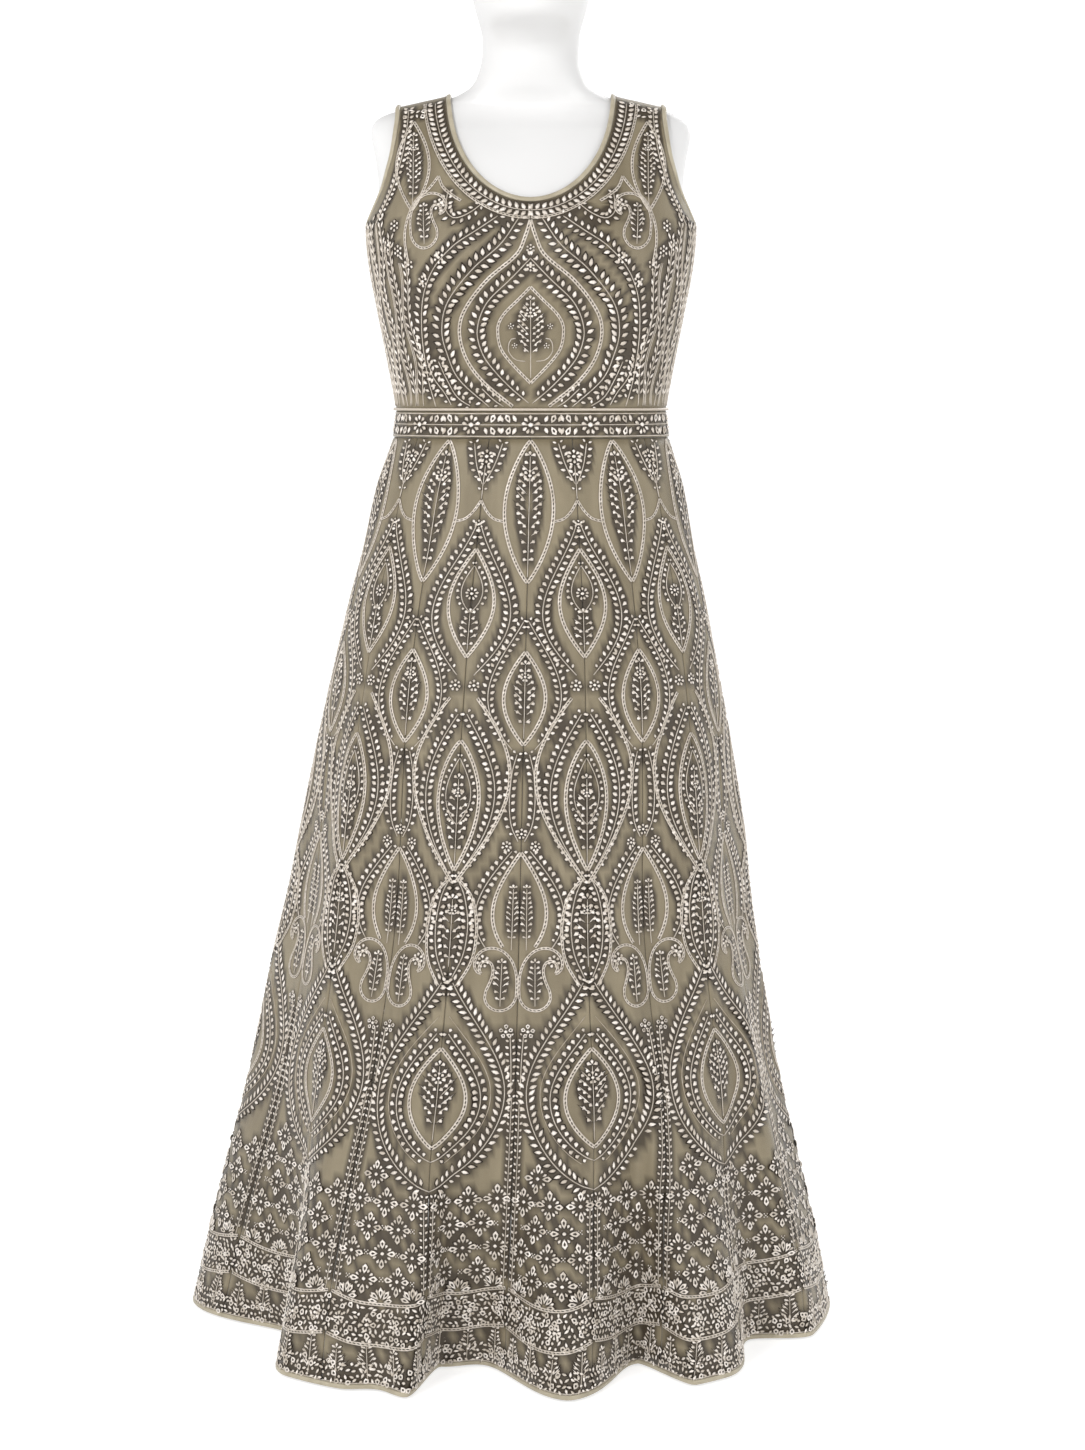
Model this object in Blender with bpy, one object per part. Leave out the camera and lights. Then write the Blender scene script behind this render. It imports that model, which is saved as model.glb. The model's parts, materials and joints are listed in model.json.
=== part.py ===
"""A sleeveless, floor-length anarkali gown on a smooth armless dress form and its round stand.

Metres, +Z up, the front towards -Y. The origin is on the floor, at the centre of the stand's base.
The gown is cut from a front and two back bodice pieces, a waistband with a corded edge, and twenty
flared skirt panels. Binding edges the neck, the armholes and the hem. Each piece is a closed wall.
"""

import math
from typing import NamedTuple

import bmesh
import bpy
from mathutils import Vector

MM = 0.001

# Driving sizes of the gown.
SEAM_GAP = 0.3 * MM
FORM_CLEARANCE = 2.6 * MM
BODICE_WALL = 1.6 * MM
WAISTBAND_WALL = 2.2 * MM
SKIRT_WALL = 1.6 * MM
WAIST_TOP = 1.0290
WAIST_BOTTOM = 1.0003
PIPING_RADIUS = 1.6 * MM
BINDING_WIDTH = 5.3 * MM
BINDING_WALL = 2.4 * MM
HEM_BINDING_HEIGHT = 5.0 * MM
HEM_BINDING_WALL = 3.2 * MM
HEM_LIFT = 2.5 * MM

# The scoop neck, the armholes and the shoulder seams, as half the gown.
NECK_HALF_WIDTH = 0.094
SHOULDER_TIP_X = 0.145
FRONT_NECK_Z = 1.255
BACK_NECK_Z = 1.318
UNDERARM_Z = 1.234
ARM_CENTRE = (0.185, 0.000, 1.300)

# The skirt: its panels, how far its axis leans to one side by the hem, how its folds deepen
# towards the hem, and how its rows crowd towards the hem.
PANELS = 20
HEM_SIDE_LEAN = -0.023
FOLD_GROWTH = 1.35
ROW_CROWDING = 1.15
RING_SAMPLES = 900
NORMAL_SPREAD = 4

# How finely the solids are divided.
PANEL_COLUMNS = 5
PANEL_ROWS = 14
BODICE_COLUMNS = 9
BODICE_ROWS = 9
STRAP_ROWS = 9
BAND_COLUMNS = 2 * BODICE_COLUMNS
BAND_ROWS = 2
CORD_SIDES = 6
FORM_COLUMNS = 28
SHOULDER_ZONE = (1.345, 1.385)
BASE_SEGMENTS = 32
POLE_SEGMENTS = 16
SHARP_EDGE_DEGREES = 50
SURFACE_STEP = 0.2 * MM

# The stand.
BASE_RADIUS = 0.160
BASE_HEIGHT = 8 * MM
BASE_EDGE = 2 * MM
POLE_RADIUS = 12.5 * MM
FORM_BOTTOM = 0.770

CLOTH_OLIVE = (0.235, 0.198, 0.132)
BINDING_KHAKI = (0.42, 0.37, 0.28)
FORM_WHITE = (0.86, 0.86, 0.86)
STAND_WHITE = (0.75, 0.75, 0.75)


class Section(NamedTuple):
    """A level section: its half width, its depth before and behind the sides, and its squareness."""

    height: float
    half_width: float
    front: float
    back: float
    side_y: float
    square: float


class Fold(NamedTuple):
    """A trough that runs down the skirt: its bearing from the front, its two flanks in degrees,
    how deep it is at the hem, the share of the skirt's length at which it starts, and how many
    degrees its bottom leans to one side."""

    bearing: float
    left: float
    right: float
    depth: float
    start: float
    lean: float


class Share(NamedTuple):
    """A value against a share of some length."""

    share: float
    value: float


FORM_SECTIONS = (
    Section(0.770, 0.128, 0.090, 0.098, 0.010, 2.0),
    Section(0.790, 0.152, 0.106, 0.118, 0.010, 2.0),
    Section(0.830, 0.166, 0.114, 0.132, 0.009, 2.0),
    Section(0.880, 0.166, 0.114, 0.134, 0.008, 2.0),
    Section(0.940, 0.159, 0.110, 0.120, 0.006, 2.1),
    Section(1.000, 0.1525, 0.106, 0.103, 0.004, 2.1),
    Section(1.030, 0.1490, 0.104, 0.098, 0.003, 2.1),
    Section(1.080, 0.1570, 0.109, 0.100, 0.002, 2.15),
    Section(1.140, 0.1685, 0.119, 0.107, 0.001, 2.2),
    Section(1.195, 0.1785, 0.124, 0.115, 0.000, 2.2),
    Section(1.235, 0.1815, 0.118, 0.119, 0.001, 2.2),
    Section(1.277, 0.1715, 0.101, 0.117, 0.003, 2.2),
    Section(1.310, 0.1750, 0.084, 0.106, 0.006, 2.2),
    Section(1.338, 0.1800, 0.066, 0.088, 0.010, 2.2),
    Section(1.352, 0.1770, 0.054, 0.072, 0.012, 2.2),
    Section(1.362, 0.1610, 0.048, 0.062, 0.013, 2.1),
    Section(1.370, 0.1280, 0.046, 0.058, 0.013, 2.0),
    Section(1.378, 0.0930, 0.047, 0.056, 0.011, 2.0),
    Section(1.390, 0.0690, 0.050, 0.055, 0.007, 2.0),
    Section(1.408, 0.0580, 0.053, 0.056, 0.002, 2.0),
    Section(1.430, 0.0540, 0.055, 0.058, -0.006, 2.0),
    Section(1.446, 0.0545, 0.068, 0.062, -0.012, 2.0),
    Section(1.458, 0.0575, 0.088, 0.068, -0.016, 2.0),
    Section(1.475, 0.0625, 0.096, 0.077, -0.018, 2.1),
    Section(1.500, 0.0670, 0.098, 0.088, -0.018, 2.1),
    Section(1.545, 0.0730, 0.097, 0.099, -0.016, 2.1),
    Section(1.590, 0.0755, 0.092, 0.102, -0.014, 2.1),
    Section(1.630, 0.0715, 0.080, 0.094, -0.012, 2.0),
    Section(1.660, 0.0590, 0.060, 0.074, -0.010, 2.0),
    Section(1.678, 0.0400, 0.039, 0.050, -0.008, 2.0),
    Section(1.687, 0.0180, 0.018, 0.022, -0.008, 2.0),
)

BUST_POINT = (0.082, 1.190)
BUST_SPREAD = (0.050, 0.048)
BUST_RISE = 13 * MM

SKIRT_SECTIONS = (
    Section(0.000, 0.372, 0.384, 0.372, 0.000, 2.15),
    Section(0.100, 0.352, 0.356, 0.350, 0.000, 2.12),
    Section(0.173, 0.337, 0.335, 0.332, 0.000, 2.1),
    Section(0.281, 0.312, 0.305, 0.305, 0.000, 2.1),
    Section(0.388, 0.289, 0.275, 0.278, 0.000, 2.05),
    Section(0.494, 0.266, 0.245, 0.250, 0.000, 2.0),
    Section(0.600, 0.247, 0.216, 0.224, 0.000, 2.0),
    Section(0.704, 0.2265, 0.186, 0.197, 0.001, 2.0),
    Section(0.808, 0.2040, 0.156, 0.170, 0.002, 2.0),
    Section(0.877, 0.1870, 0.135, 0.152, 0.003, 2.0),
    Section(0.945, 0.1730, 0.121, 0.128, 0.004, 2.05),
    Section(1.000, 0.1548, 0.1083, 0.1053, 0.004, 2.1),
)

# The deep folds at the hem. Those before +-90 degrees are the ones that the front shows.
HEM_FOLDS = (
    Fold(-56, 26, 18, 0.085, 0.46, 2.0),
    Fold(-22, 6, 6, 0.014, 0.74, 0.0),
    Fold(-11, 5.5, 17, 0.100, 0.70, -4.0),
    Fold(-1, 10, 11, 0.062, 0.64, 0.0),
    Fold(26, 17, 5, 0.088, 0.62, 1.5),
    Fold(54, 17, 9, 0.058, 0.50, 0.0),
    Fold(91, 12, 15, 0.062, 0.45, 0.0),
    Fold(121, 15, 9, 0.082, 0.48, 1.0),
    Fold(150, 9, 15, 0.070, 0.42, -1.0),
    Fold(179, 15, 9, 0.088, 0.46, 1.0),
    Fold(-151, 9, 16, 0.070, 0.44, -1.0),
    Fold(-121, 14, 9, 0.080, 0.50, 1.0),
    Fold(-92, 8, 10, 0.040, 0.60, 0.0),
)

# Soft troughs down every second seam, deepest at mid skirt and gone where the hem folds take over.
SEAM_TROUGH_DEPTH = 15 * MM
SEAM_TROUGH_WIDTH = 0.95
SEAM_TROUGH_SPAN = (0.22, 0.55, 0.72, 0.96)

# How much wider than their share the front panels are, against the share of the skirt's length.
FRONT_EASE = (Share(0.0, 0.10), Share(0.15, 0.10), Share(0.55, -0.10), Share(0.80, -0.12), Share(1.0, -0.06))

# The armhole's distance from the middle, against its share of the height from underarm to shoulder.
ARMHOLE = (
    Share(0.0, 0.1812),
    Share(0.1, 0.1745),
    Share(0.31, 0.1615),
    Share(0.45, 0.1555),
    Share(0.60, 0.1500),
    Share(0.85, 0.1455),
    Share(1.0, SHOULDER_TIP_X),
)


def mix(a, b, t):
    """A value the share t of the way from a to b."""
    return a + (b - a) * t


def ease(t):
    """A smooth step from 0 to 1 as t goes from 0 to 1."""
    t = min(1.0, max(0.0, t))
    return t * t * (3 - 2 * t)


def smooth_row(rows, at):
    """A table's row at a place between its rows, on a smooth curve through them. Column 0 is the place."""
    last = len(rows) - 1
    at = min(max(at, rows[0][0]), rows[last][0])
    i = next(k for k in range(last) if at <= rows[k + 1][0])
    low, high = rows[i], rows[i + 1]
    before, after = rows[max(i - 1, 0)], rows[min(i + 2, last)]
    span = high[0] - low[0]
    t = (at - low[0]) / span
    values = []
    for column in range(1, len(low)):
        rise = high[column] - low[column]
        start = (high[column] - before[column]) / (high[0] - before[0]) * span
        end = (after[column] - low[column]) / (after[0] - low[0]) * span
        if start * rise <= 0:
            start = 0.0
        if end * rise <= 0:
            end = 0.0
        values.append(
            low[column]
            + start * t
            + (3 * rise - 2 * start - end) * t**2
            + (start + end - 2 * rise) * t**3
        )
    return (at, *values)


def form_section(z):
    """The dress form's section at a height."""
    return Section(*smooth_row(FORM_SECTIONS, z))


def skirt_section(z):
    """The skirt's section at a height, before its folds."""
    return Section(*smooth_row(SKIRT_SECTIONS, z))


def bust_rise(x, z):
    """How far the bust stands proud of the form's plain section."""
    across = (abs(x) - BUST_POINT[0]) / BUST_SPREAD[0]
    up = (z - BUST_POINT[1]) / BUST_SPREAD[1]
    return BUST_RISE * math.exp(-(across**2) - up**2)


def form_point(x, z, facing):
    """A point on the form's front (facing -1) or back (facing 1), at a distance from the middle."""
    section = form_section(z)
    share = min(1.0, abs(x) / section.half_width)
    inside = (1 - share**section.square) ** (1 / section.square)
    depth = section.front * inside + bust_rise(x, z) * inside if facing < 0 else section.back * inside
    return Vector((x, section.side_y + facing * depth, z))


def form_level(point):
    """Nought on the form's surface, more outside it and less inside."""
    section = form_section(point.z)
    across = abs(point.x) / section.half_width
    away = point.y - section.side_y
    depth = section.front + bust_rise(point.x, point.z) if away < 0 else section.back
    return across**section.square + (abs(away) / depth) ** section.square - 1


def form_normal(point):
    """The form's outward direction at a point of its surface."""
    slopes = []
    for axis in range(3):
        aside = Vector([SURFACE_STEP if k == axis else 0.0 for k in range(3)])
        slopes.append(form_level(point + aside) - form_level(point - aside))
    return Vector(slopes).normalized()


def shoulder_height(x):
    """The height of the form's shoulder ridge at a distance from the middle."""
    x = min(max(abs(x), NECK_HALF_WIDTH), SHOULDER_TIP_X)
    low, high = SHOULDER_ZONE
    for _ in range(40):
        middle = (low + high) / 2
        if form_section(middle).half_width > x:
            low = middle
        else:
            high = middle
    return low


def ring_point(section, turn):
    """A point of a section; turn is 0 at the front and grows towards +X."""
    s, c = math.sin(turn), math.cos(turn)
    power = 2 / section.square
    x = math.copysign(abs(s) ** power, s) * section.half_width
    reach = abs(c) ** power
    if c >= 0:
        depth = section.front * reach
        return Vector((x, section.side_y - depth - bust_rise(x, section.height) * reach, section.height))
    return Vector((x, section.side_y + section.back * reach, section.height))


def fold_profile(offset, left, right):
    """How much of a fold's depth shows at an offset in degrees: 1 at its bottom, 0 past its flanks."""
    t = offset / (right if offset > 0 else left)
    return 0.5 + 0.5 * math.cos(math.pi * min(1.0, abs(t)))


def hem_folding(bearing, share):
    """How far the hem folds draw the skirt in at a bearing in degrees and a share of its length,
    and by how many degrees they carry it sideways."""
    drawn, aside = 0.0, 0.0
    for fold in HEM_FOLDS:
        if share <= fold.start:
            continue
        offset = (bearing - fold.bearing + 180) % 360 - 180
        grown = ((share - fold.start) / (1 - fold.start)) ** FOLD_GROWTH
        grown *= fold_profile(offset, fold.left, fold.right)
        drawn += fold.depth * grown
        aside += fold.lean * grown
    return drawn, aside


def seam_trough_depth(bearing, share):
    """How far the soft troughs down every second seam draw the skirt in."""
    rise, full, fall, end = SEAM_TROUGH_SPAN
    strength = ease((share - rise) / (full - rise)) * (1 - ease((share - fall) / (end - fall)))
    spacing = 720 / PANELS
    offset = (bearing + spacing / 2) % spacing - spacing / 2
    return SEAM_TROUGH_DEPTH * strength * fold_profile(offset, spacing / 2 * SEAM_TROUGH_WIDTH, spacing / 2)


def skirt_ring(z):
    """The skirt's folded section at a height, as points and the lengths along them from the front."""
    section = skirt_section(z)
    share = 1 - z / WAIST_BOTTOM
    lean = HEM_SIDE_LEAN * share
    points, lengths = [], [0.0]
    for i in range(RING_SAMPLES + 1):
        turn = math.tau * i / RING_SAMPLES
        s, c = math.sin(turn), math.cos(turn)
        power = 2 / section.square
        x = math.copysign(abs(s) ** power, s) * section.half_width
        depth = section.front if c >= 0 else section.back
        y = section.side_y - math.copysign(abs(c) ** power, c) * depth
        reach = math.hypot(x, y)
        bearing = math.degrees(math.atan2(x, -y))
        fold_depth, aside = hem_folding(bearing, share)
        drawn = reach - fold_depth - seam_trough_depth(bearing, share)
        swung = math.radians(bearing + aside)
        points.append(Vector((lean + drawn * math.sin(swung), -drawn * math.cos(swung), z)))
        if i:
            lengths.append(lengths[-1] + (points[i] - points[i - 1]).length)
    return points, lengths


def seam_share(column, share):
    """Where a panel column lies, as a share of the ring's length: columns count from the front."""
    turn = column / PANELS
    widening = smooth_row(FRONT_EASE, share)[1]
    return turn + widening * math.sin(math.tau * turn) / math.tau


def ring_at(ring, along):
    """The ring's point, its direction and its outward level normal, at a share of its length."""
    points, lengths = ring
    target = (along % 1.0) * lengths[-1]
    low, high = 0, len(lengths) - 1
    while high - low > 1:
        middle = (low + high) // 2
        if lengths[middle] <= target:
            low = middle
        else:
            high = middle
    t = (target - lengths[low]) / (lengths[high] - lengths[low])
    count = len(points) - 1
    onward = points[(low + NORMAL_SPREAD) % count] - points[(low - NORMAL_SPREAD) % count]
    onward.normalize()
    return points[low].lerp(points[high], t), onward, Vector((onward.y, -onward.x, 0))


def new_object(name, mesh_data, colour, roughness):
    """An object of a bmesh, with its own material."""
    mesh = bpy.data.meshes.new(name)
    mesh_data.to_mesh(mesh)
    mesh_data.free()
    mesh.shade_smooth()
    mesh.set_sharp_from_angle(angle=math.radians(SHARP_EDGE_DEGREES))
    material = bpy.data.materials.new(name)
    material.use_nodes = True
    shader = material.node_tree.nodes["Principled BSDF"]
    shader.inputs["Base Color"].default_value = (*colour, 1)
    shader.inputs["Roughness"].default_value = roughness
    mesh.materials.append(material)
    bpy.context.scene.collection.objects.link(bpy.data.objects.new(name, mesh))


def halves(corners):
    """A four-cornered face's two triangles, cut the same way on both sides of a wall."""
    a, b, c, d = corners
    return [a, b, c], [a, c, d]


def wall(inner, outer):
    """A closed wall between two grids of points, each a list of rows."""
    made = bmesh.new()
    rows, columns = len(inner), len(inner[0])
    sides = [[[made.verts.new(p) for p in row] for row in grid] for grid in (outer, inner)]
    for side, flip in zip(sides, (False, True)):
        for r in range(rows - 1):
            for c in range(columns - 1):
                corners = [side[r][c], side[r][c + 1], side[r + 1][c + 1], side[r + 1][c]]
                for triangle in halves(corners):
                    made.faces.new(triangle[::-1] if flip else triangle)
    border = [(0, c) for c in range(columns)]
    border += [(r, columns - 1) for r in range(1, rows)]
    border += [(rows - 1, c) for c in range(columns - 2, -1, -1)]
    border += [(r, 0) for r in range(rows - 2, 0, -1)]
    for k, (r, c) in enumerate(border):
        r2, c2 = border[(k + 1) % len(border)]
        first, second = [[side[i][j] for side in sides] for i, j in ((r, c), (r2, c2))]
        if r2 < r:
            made.faces.new([second[0], first[0], second[1]])
            made.faces.new([first[0], first[1], second[1]])
        else:
            made.faces.new([second[0], first[0], first[1]])
            made.faces.new([second[0], first[1], second[1]])
    bmesh.ops.recalc_face_normals(made, faces=made.faces)
    return made


def sweep(stations):
    """A closed bar through sections of the same number of points."""
    made = bmesh.new()
    rings = [[made.verts.new(p) for p in station] for station in stations]
    count = len(rings[0])
    for first, second in zip(rings, rings[1:]):
        for k in range(count):
            for triangle in halves([first[k], first[(k + 1) % count], second[(k + 1) % count], second[k]]):
                made.faces.new(triangle)
    made.faces.new(rings[0][::-1])
    made.faces.new(rings[-1])
    bmesh.ops.recalc_face_normals(made, faces=made.faces)
    return made


def clothed(points, thickness):
    """Inner and outer grids of a wall that lies on the form, from the form's own points."""
    lift = [[(p, form_normal(p)) for p in row] for row in points]
    inner = [[p + n * FORM_CLEARANCE for p, n in row] for row in lift]
    outer = [[p + n * (FORM_CLEARANCE + thickness) for p, n in row] for row in lift]
    return inner, outer


def bodice_line(column, neck_z):
    """The height of the line from the neck's lowest point to the underarm."""
    return mix(neck_z, UNDERARM_Z, ease(column / BODICE_COLUMNS))


def level_x(column, z):
    """A column's distance from the middle on the lower bodice: equal turns round the form."""
    return form_section(z).half_width * math.sin(math.pi / 2 * column / BODICE_COLUMNS)


def strap_x(column, up, neck_z):
    """A column's distance from the middle on the upper bodice, between the neck and the armhole."""
    rise = (1 - math.cos(math.pi * up)) / 2
    neck = NECK_HALF_WIDTH * math.sqrt(1 - (1 - rise) ** 2)
    armhole = smooth_row(ARMHOLE, rise)[1]
    start = level_x(column, bodice_line(column, neck_z)) / ARMHOLE[0].value
    share = mix(min(1.0, start), column / BODICE_COLUMNS, up)
    return mix(neck, armhole, share)


def strap_z(column, up, neck_z):
    """A column's height on the upper bodice, up to the shoulder ridge."""
    rise = (1 - math.cos(math.pi * up)) / 2
    low = bodice_line(column, neck_z)
    return mix(low, shoulder_height(strap_x(column, up, neck_z)), rise)


def bodice_half(facing, neck_z):
    """The form's points under half a bodice, row by row from the waist, columns from the middle."""
    rows = []
    bottom = WAIST_TOP + SEAM_GAP
    for r in range(BODICE_ROWS):
        row = []
        for column in range(BODICE_COLUMNS + 1):
            z = mix(bottom, bodice_line(column, neck_z), r / BODICE_ROWS)
            row.append(form_point(level_x(column, z), z, facing))
        rows.append(row)
    for r in range(STRAP_ROWS + 1):
        up = r / STRAP_ROWS
        row = []
        for column in range(BODICE_COLUMNS + 1):
            x, z = strap_x(column, up, neck_z), strap_z(column, up, neck_z)
            row.append(form_point(x, z, facing))
        rows.append(row)
    return rows


def clear_of_seams(rows, facing, centre_seam):
    """The same rows drawn back by half a seam gap at the side, the shoulder and a centre seam."""
    half_gap = SEAM_GAP / 2
    for row in rows:
        row[-1].y += facing * half_gap if abs(row[-1].y - form_section(row[-1].z).side_y) < half_gap else 0.0
        if centre_seam and abs(row[0].x) < half_gap:
            row[0].x += half_gap
    for p in rows[-1]:
        p.y += facing * half_gap
    return rows


def mirrored(grid):
    """A grid on the other side of the middle, its columns running the same way."""
    return [[Vector((-p.x, p.y, p.z)) for p in reversed(row)] for row in grid]


def bodice_front():
    """The front: two halves meeting at the middle up to the neck, and a strap on each side."""
    half = clear_of_seams(bodice_half(-1, FRONT_NECK_Z), -1, False)
    inner, outer = clothed(half, BODICE_WALL)
    made = bmesh.new()
    for grid_inner, grid_outer in ((inner, outer), (mirrored(inner), mirrored(outer))):
        part = wall(grid_inner, grid_outer)
        mesh = bpy.data.meshes.new("half")
        part.to_mesh(mesh)
        part.free()
        made.from_mesh(mesh)
        bpy.data.meshes.remove(mesh)
    middle = [f for f in made.faces if all(abs(v.co.x) < 1e-7 for v in f.verts)]
    bmesh.ops.delete(made, geom=middle, context="FACES_ONLY")
    bmesh.ops.remove_doubles(made, verts=[v for v in made.verts if abs(v.co.x) < 1e-7], dist=1e-6)
    bmesh.ops.recalc_face_normals(made, faces=made.faces)
    new_object("bodice_front", made, CLOTH_OLIVE, 0.6)


def bodice_backs():
    """The two back pieces, which meet at the centre back seam."""
    half = clear_of_seams(bodice_half(1, BACK_NECK_Z), 1, True)
    inner, outer = clothed(half, BODICE_WALL)
    new_object("bodice_back_left", wall(inner, outer), CLOTH_OLIVE, 0.6)
    new_object("bodice_back_right", wall(mirrored(inner), mirrored(outer)), CLOTH_OLIVE, 0.6)


def lifted(point, clearance):
    """A point near the form's surface, moved to a given distance off it."""
    for _ in range(4):
        normal = form_normal(point)
        aside = normal * SURFACE_STEP
        slope = (form_level(point + aside) - form_level(point - aside)) / (2 * SURFACE_STEP)
        point = point + normal * (clearance - form_level(point) / slope)
    return point


def edge_strip(name, edge, towards):
    """A binding beside an edge: edge is points on the form, towards is the way out of the cloth."""
    stations = []
    for point, out in zip(edge, towards):
        normal = form_normal(point)
        out = (out - normal * out.dot(normal)).normalized()
        station = []
        for reach, height in ((0, 0), (1, 0), (1, 1), (0, 1)):
            place = point + out * (SEAM_GAP + BINDING_WIDTH * reach)
            station.append(lifted(place, FORM_CLEARANCE + BINDING_WALL * height))
        stations.append(station)
    for end, point in ((stations[0], edge[0]), (stations[-1], edge[-1])):
        for corner in end:
            corner.y = point.y
    new_object(name, sweep(stations), BINDING_KHAKI, 0.55)


def neck_and_armhole_bindings():
    """The strips round the neck and the armholes, in front and behind."""
    for facing, neck_z, place in ((-1, FRONT_NECK_Z, "front"), (1, BACK_NECK_Z, "back")):
        edges = {}
        for column in (0, BODICE_COLUMNS):
            edge = []
            for k in range(STRAP_ROWS + 1):
                up = k / STRAP_ROWS
                point = form_point(strap_x(column, up, neck_z), strap_z(column, up, neck_z), facing)
                if k == STRAP_ROWS or (k == 0 and column):
                    point.y += facing * SEAM_GAP / 2
                edge.append(point)
            edges[column] = edge
        neck = [Vector((-p.x, p.y, p.z)) for p in reversed(edges[0])] + edges[0][1:]
        focus = Vector((0, 0, shoulder_height(NECK_HALF_WIDTH)))
        outs = []
        for i, p in enumerate(neck):
            along = neck[min(i + 1, len(neck) - 1)] - neck[max(i - 1, 0)]
            out = along.cross(form_normal(p))
            outs.append(out if out.dot(focus - p) > 0 else -out)
        edge_strip(f"neck_binding_{place}", neck, outs)
        for side, hand in ((1, "left"), (-1, "right")):
            edge = [Vector((p.x * side, p.y, p.z)) for p in edges[BODICE_COLUMNS]]
            focus = Vector((ARM_CENTRE[0] * side, ARM_CENTRE[1], ARM_CENTRE[2]))
            outs = []
            for i, p in enumerate(edge):
                along = edge[min(i + 1, len(edge) - 1)] - edge[max(i - 1, 0)]
                out = along.cross(form_normal(p))
                outs.append(out if out.dot(focus - p) > 0 else -out)
            edge_strip(f"armhole_binding_{place}_{hand}", edge, outs)


def half_ring(z, facing, columns):
    """The form's points at a level, from one side seam to the other."""
    row = []
    for k in range(columns + 1):
        turn = math.pi * (k / columns - 0.5)
        point = form_point(form_section(z).half_width * math.sin(turn), z, facing)
        if k in (0, columns):
            point.y += facing * SEAM_GAP / 2
        row.append(point)
    return row


def waistband():
    """The waistband and the corded edge over it, each in a front and a back piece."""
    for facing, place in ((-1, "front"), (1, "back")):
        levels = [mix(WAIST_BOTTOM, WAIST_TOP, r / BAND_ROWS) for r in range(BAND_ROWS + 1)]
        rows = [half_ring(z, facing, BAND_COLUMNS) for z in levels]
        new_object(f"waistband_{place}", wall(*clothed(rows, WAISTBAND_WALL)), CLOTH_OLIVE, 0.6)
        stations = []
        for point in half_ring(WAIST_TOP + 2 * PIPING_RADIUS, facing, BAND_COLUMNS):
            normal = form_normal(point)
            across = Vector((normal.x, normal.y, 0)).normalized()
            centre = point + normal * (FORM_CLEARANCE + BODICE_WALL + SEAM_GAP + PIPING_RADIUS)
            ring = []
            for k in range(CORD_SIDES):
                turn = math.tau * k / CORD_SIDES
                aside = across * math.cos(turn) + Vector((0, 0, math.sin(turn)))
                ring.append(centre + aside * PIPING_RADIUS)
            stations.append(ring)
        new_object(f"waist_piping_{place}", sweep(stations), BINDING_KHAKI, 0.5)


def skirt_heights():
    """The heights of the skirt's rows, closer together towards the hem, where the folds are deep."""
    low = HEM_LIFT + HEM_BINDING_HEIGHT + SEAM_GAP
    high = WAIST_BOTTOM - SEAM_GAP
    return [mix(high, low, 1 - (1 - r / PANEL_ROWS) ** ROW_CROWDING) for r in range(PANEL_ROWS + 1)]


def panel_row(ring, first, count, share):
    """A piece's points and outward normals on a ring, from panel `first`, with a gap at each seam."""
    row = []
    steps = PANEL_COLUMNS * count
    for k in range(steps + 1):
        point, onward, normal = ring_at(ring, seam_share(mix(first, first + count, k / steps), share))
        if k == 0:
            point = point + onward * (SEAM_GAP / 2)
        if k == steps:
            point = point - onward * (SEAM_GAP / 2)
        row.append((point, normal))
    return row


def skirt_panels():
    """The flared panels, each a wall between two seams from the waistband to the hem binding."""
    heights = skirt_heights()
    rings = [skirt_ring(z) for z in heights]
    for panel in range(PANELS):
        rows = [panel_row(ring, panel, 1, 1 - z / WAIST_BOTTOM) for z, ring in zip(heights, rings)]
        inner = [[p - n * (SKIRT_WALL / 2) for p, n in row] for row in rows]
        outer = [[p + n * (SKIRT_WALL / 2) for p, n in row] for row in rows]
        new_object(f"skirt_panel_{panel + 1:02d}", wall(inner, outer), CLOTH_OLIVE, 0.6)


def hem_bindings():
    """The rolled binding along the hem, one piece for two panels."""
    ring = skirt_ring(HEM_LIFT)
    for piece in range(PANELS // 2):
        stations = []
        for point, normal in panel_row(ring, 2 * piece, 2, 1 - HEM_LIFT / WAIST_BOTTOM):
            reach = normal * (HEM_BINDING_WALL / 2)
            rise = Vector((0, 0, HEM_BINDING_HEIGHT))
            stations.append([point - reach, point + reach, point + reach + rise, point - reach + rise])
        new_object(f"hem_binding_{piece + 1:02d}", sweep(stations), BINDING_KHAKI, 0.55)


def dress_form():
    """The smooth armless form: hips, waist, bust, shoulders, neck and a plain egg-shaped head."""
    made = bmesh.new()
    rings = []
    heights = [section.height for section in FORM_SECTIONS]
    for low, high in list(zip(heights, heights[1:])):
        if SHOULDER_ZONE[0] < high and low < SHOULDER_ZONE[1]:
            heights.append((low + high) / 2)
    for z in sorted(heights):
        turns = [math.tau * k / FORM_COLUMNS for k in range(FORM_COLUMNS)]
        rings.append([made.verts.new(ring_point(form_section(z), turn)) for turn in turns])
    for low, high in zip(rings, rings[1:]):
        for k in range(FORM_COLUMNS):
            n = (k + 1) % FORM_COLUMNS
            made.faces.new([low[k], low[n], high[n], high[k]])
    made.faces.new(rings[0][::-1])
    top = made.verts.new((0, FORM_SECTIONS[-1].side_y, FORM_SECTIONS[-1].height + 2 * MM))
    for k in range(FORM_COLUMNS):
        made.faces.new([rings[-1][k], rings[-1][(k + 1) % FORM_COLUMNS], top])
    bmesh.ops.recalc_face_normals(made, faces=made.faces)
    new_object("dress_form", made, FORM_WHITE, 0.35)


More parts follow.
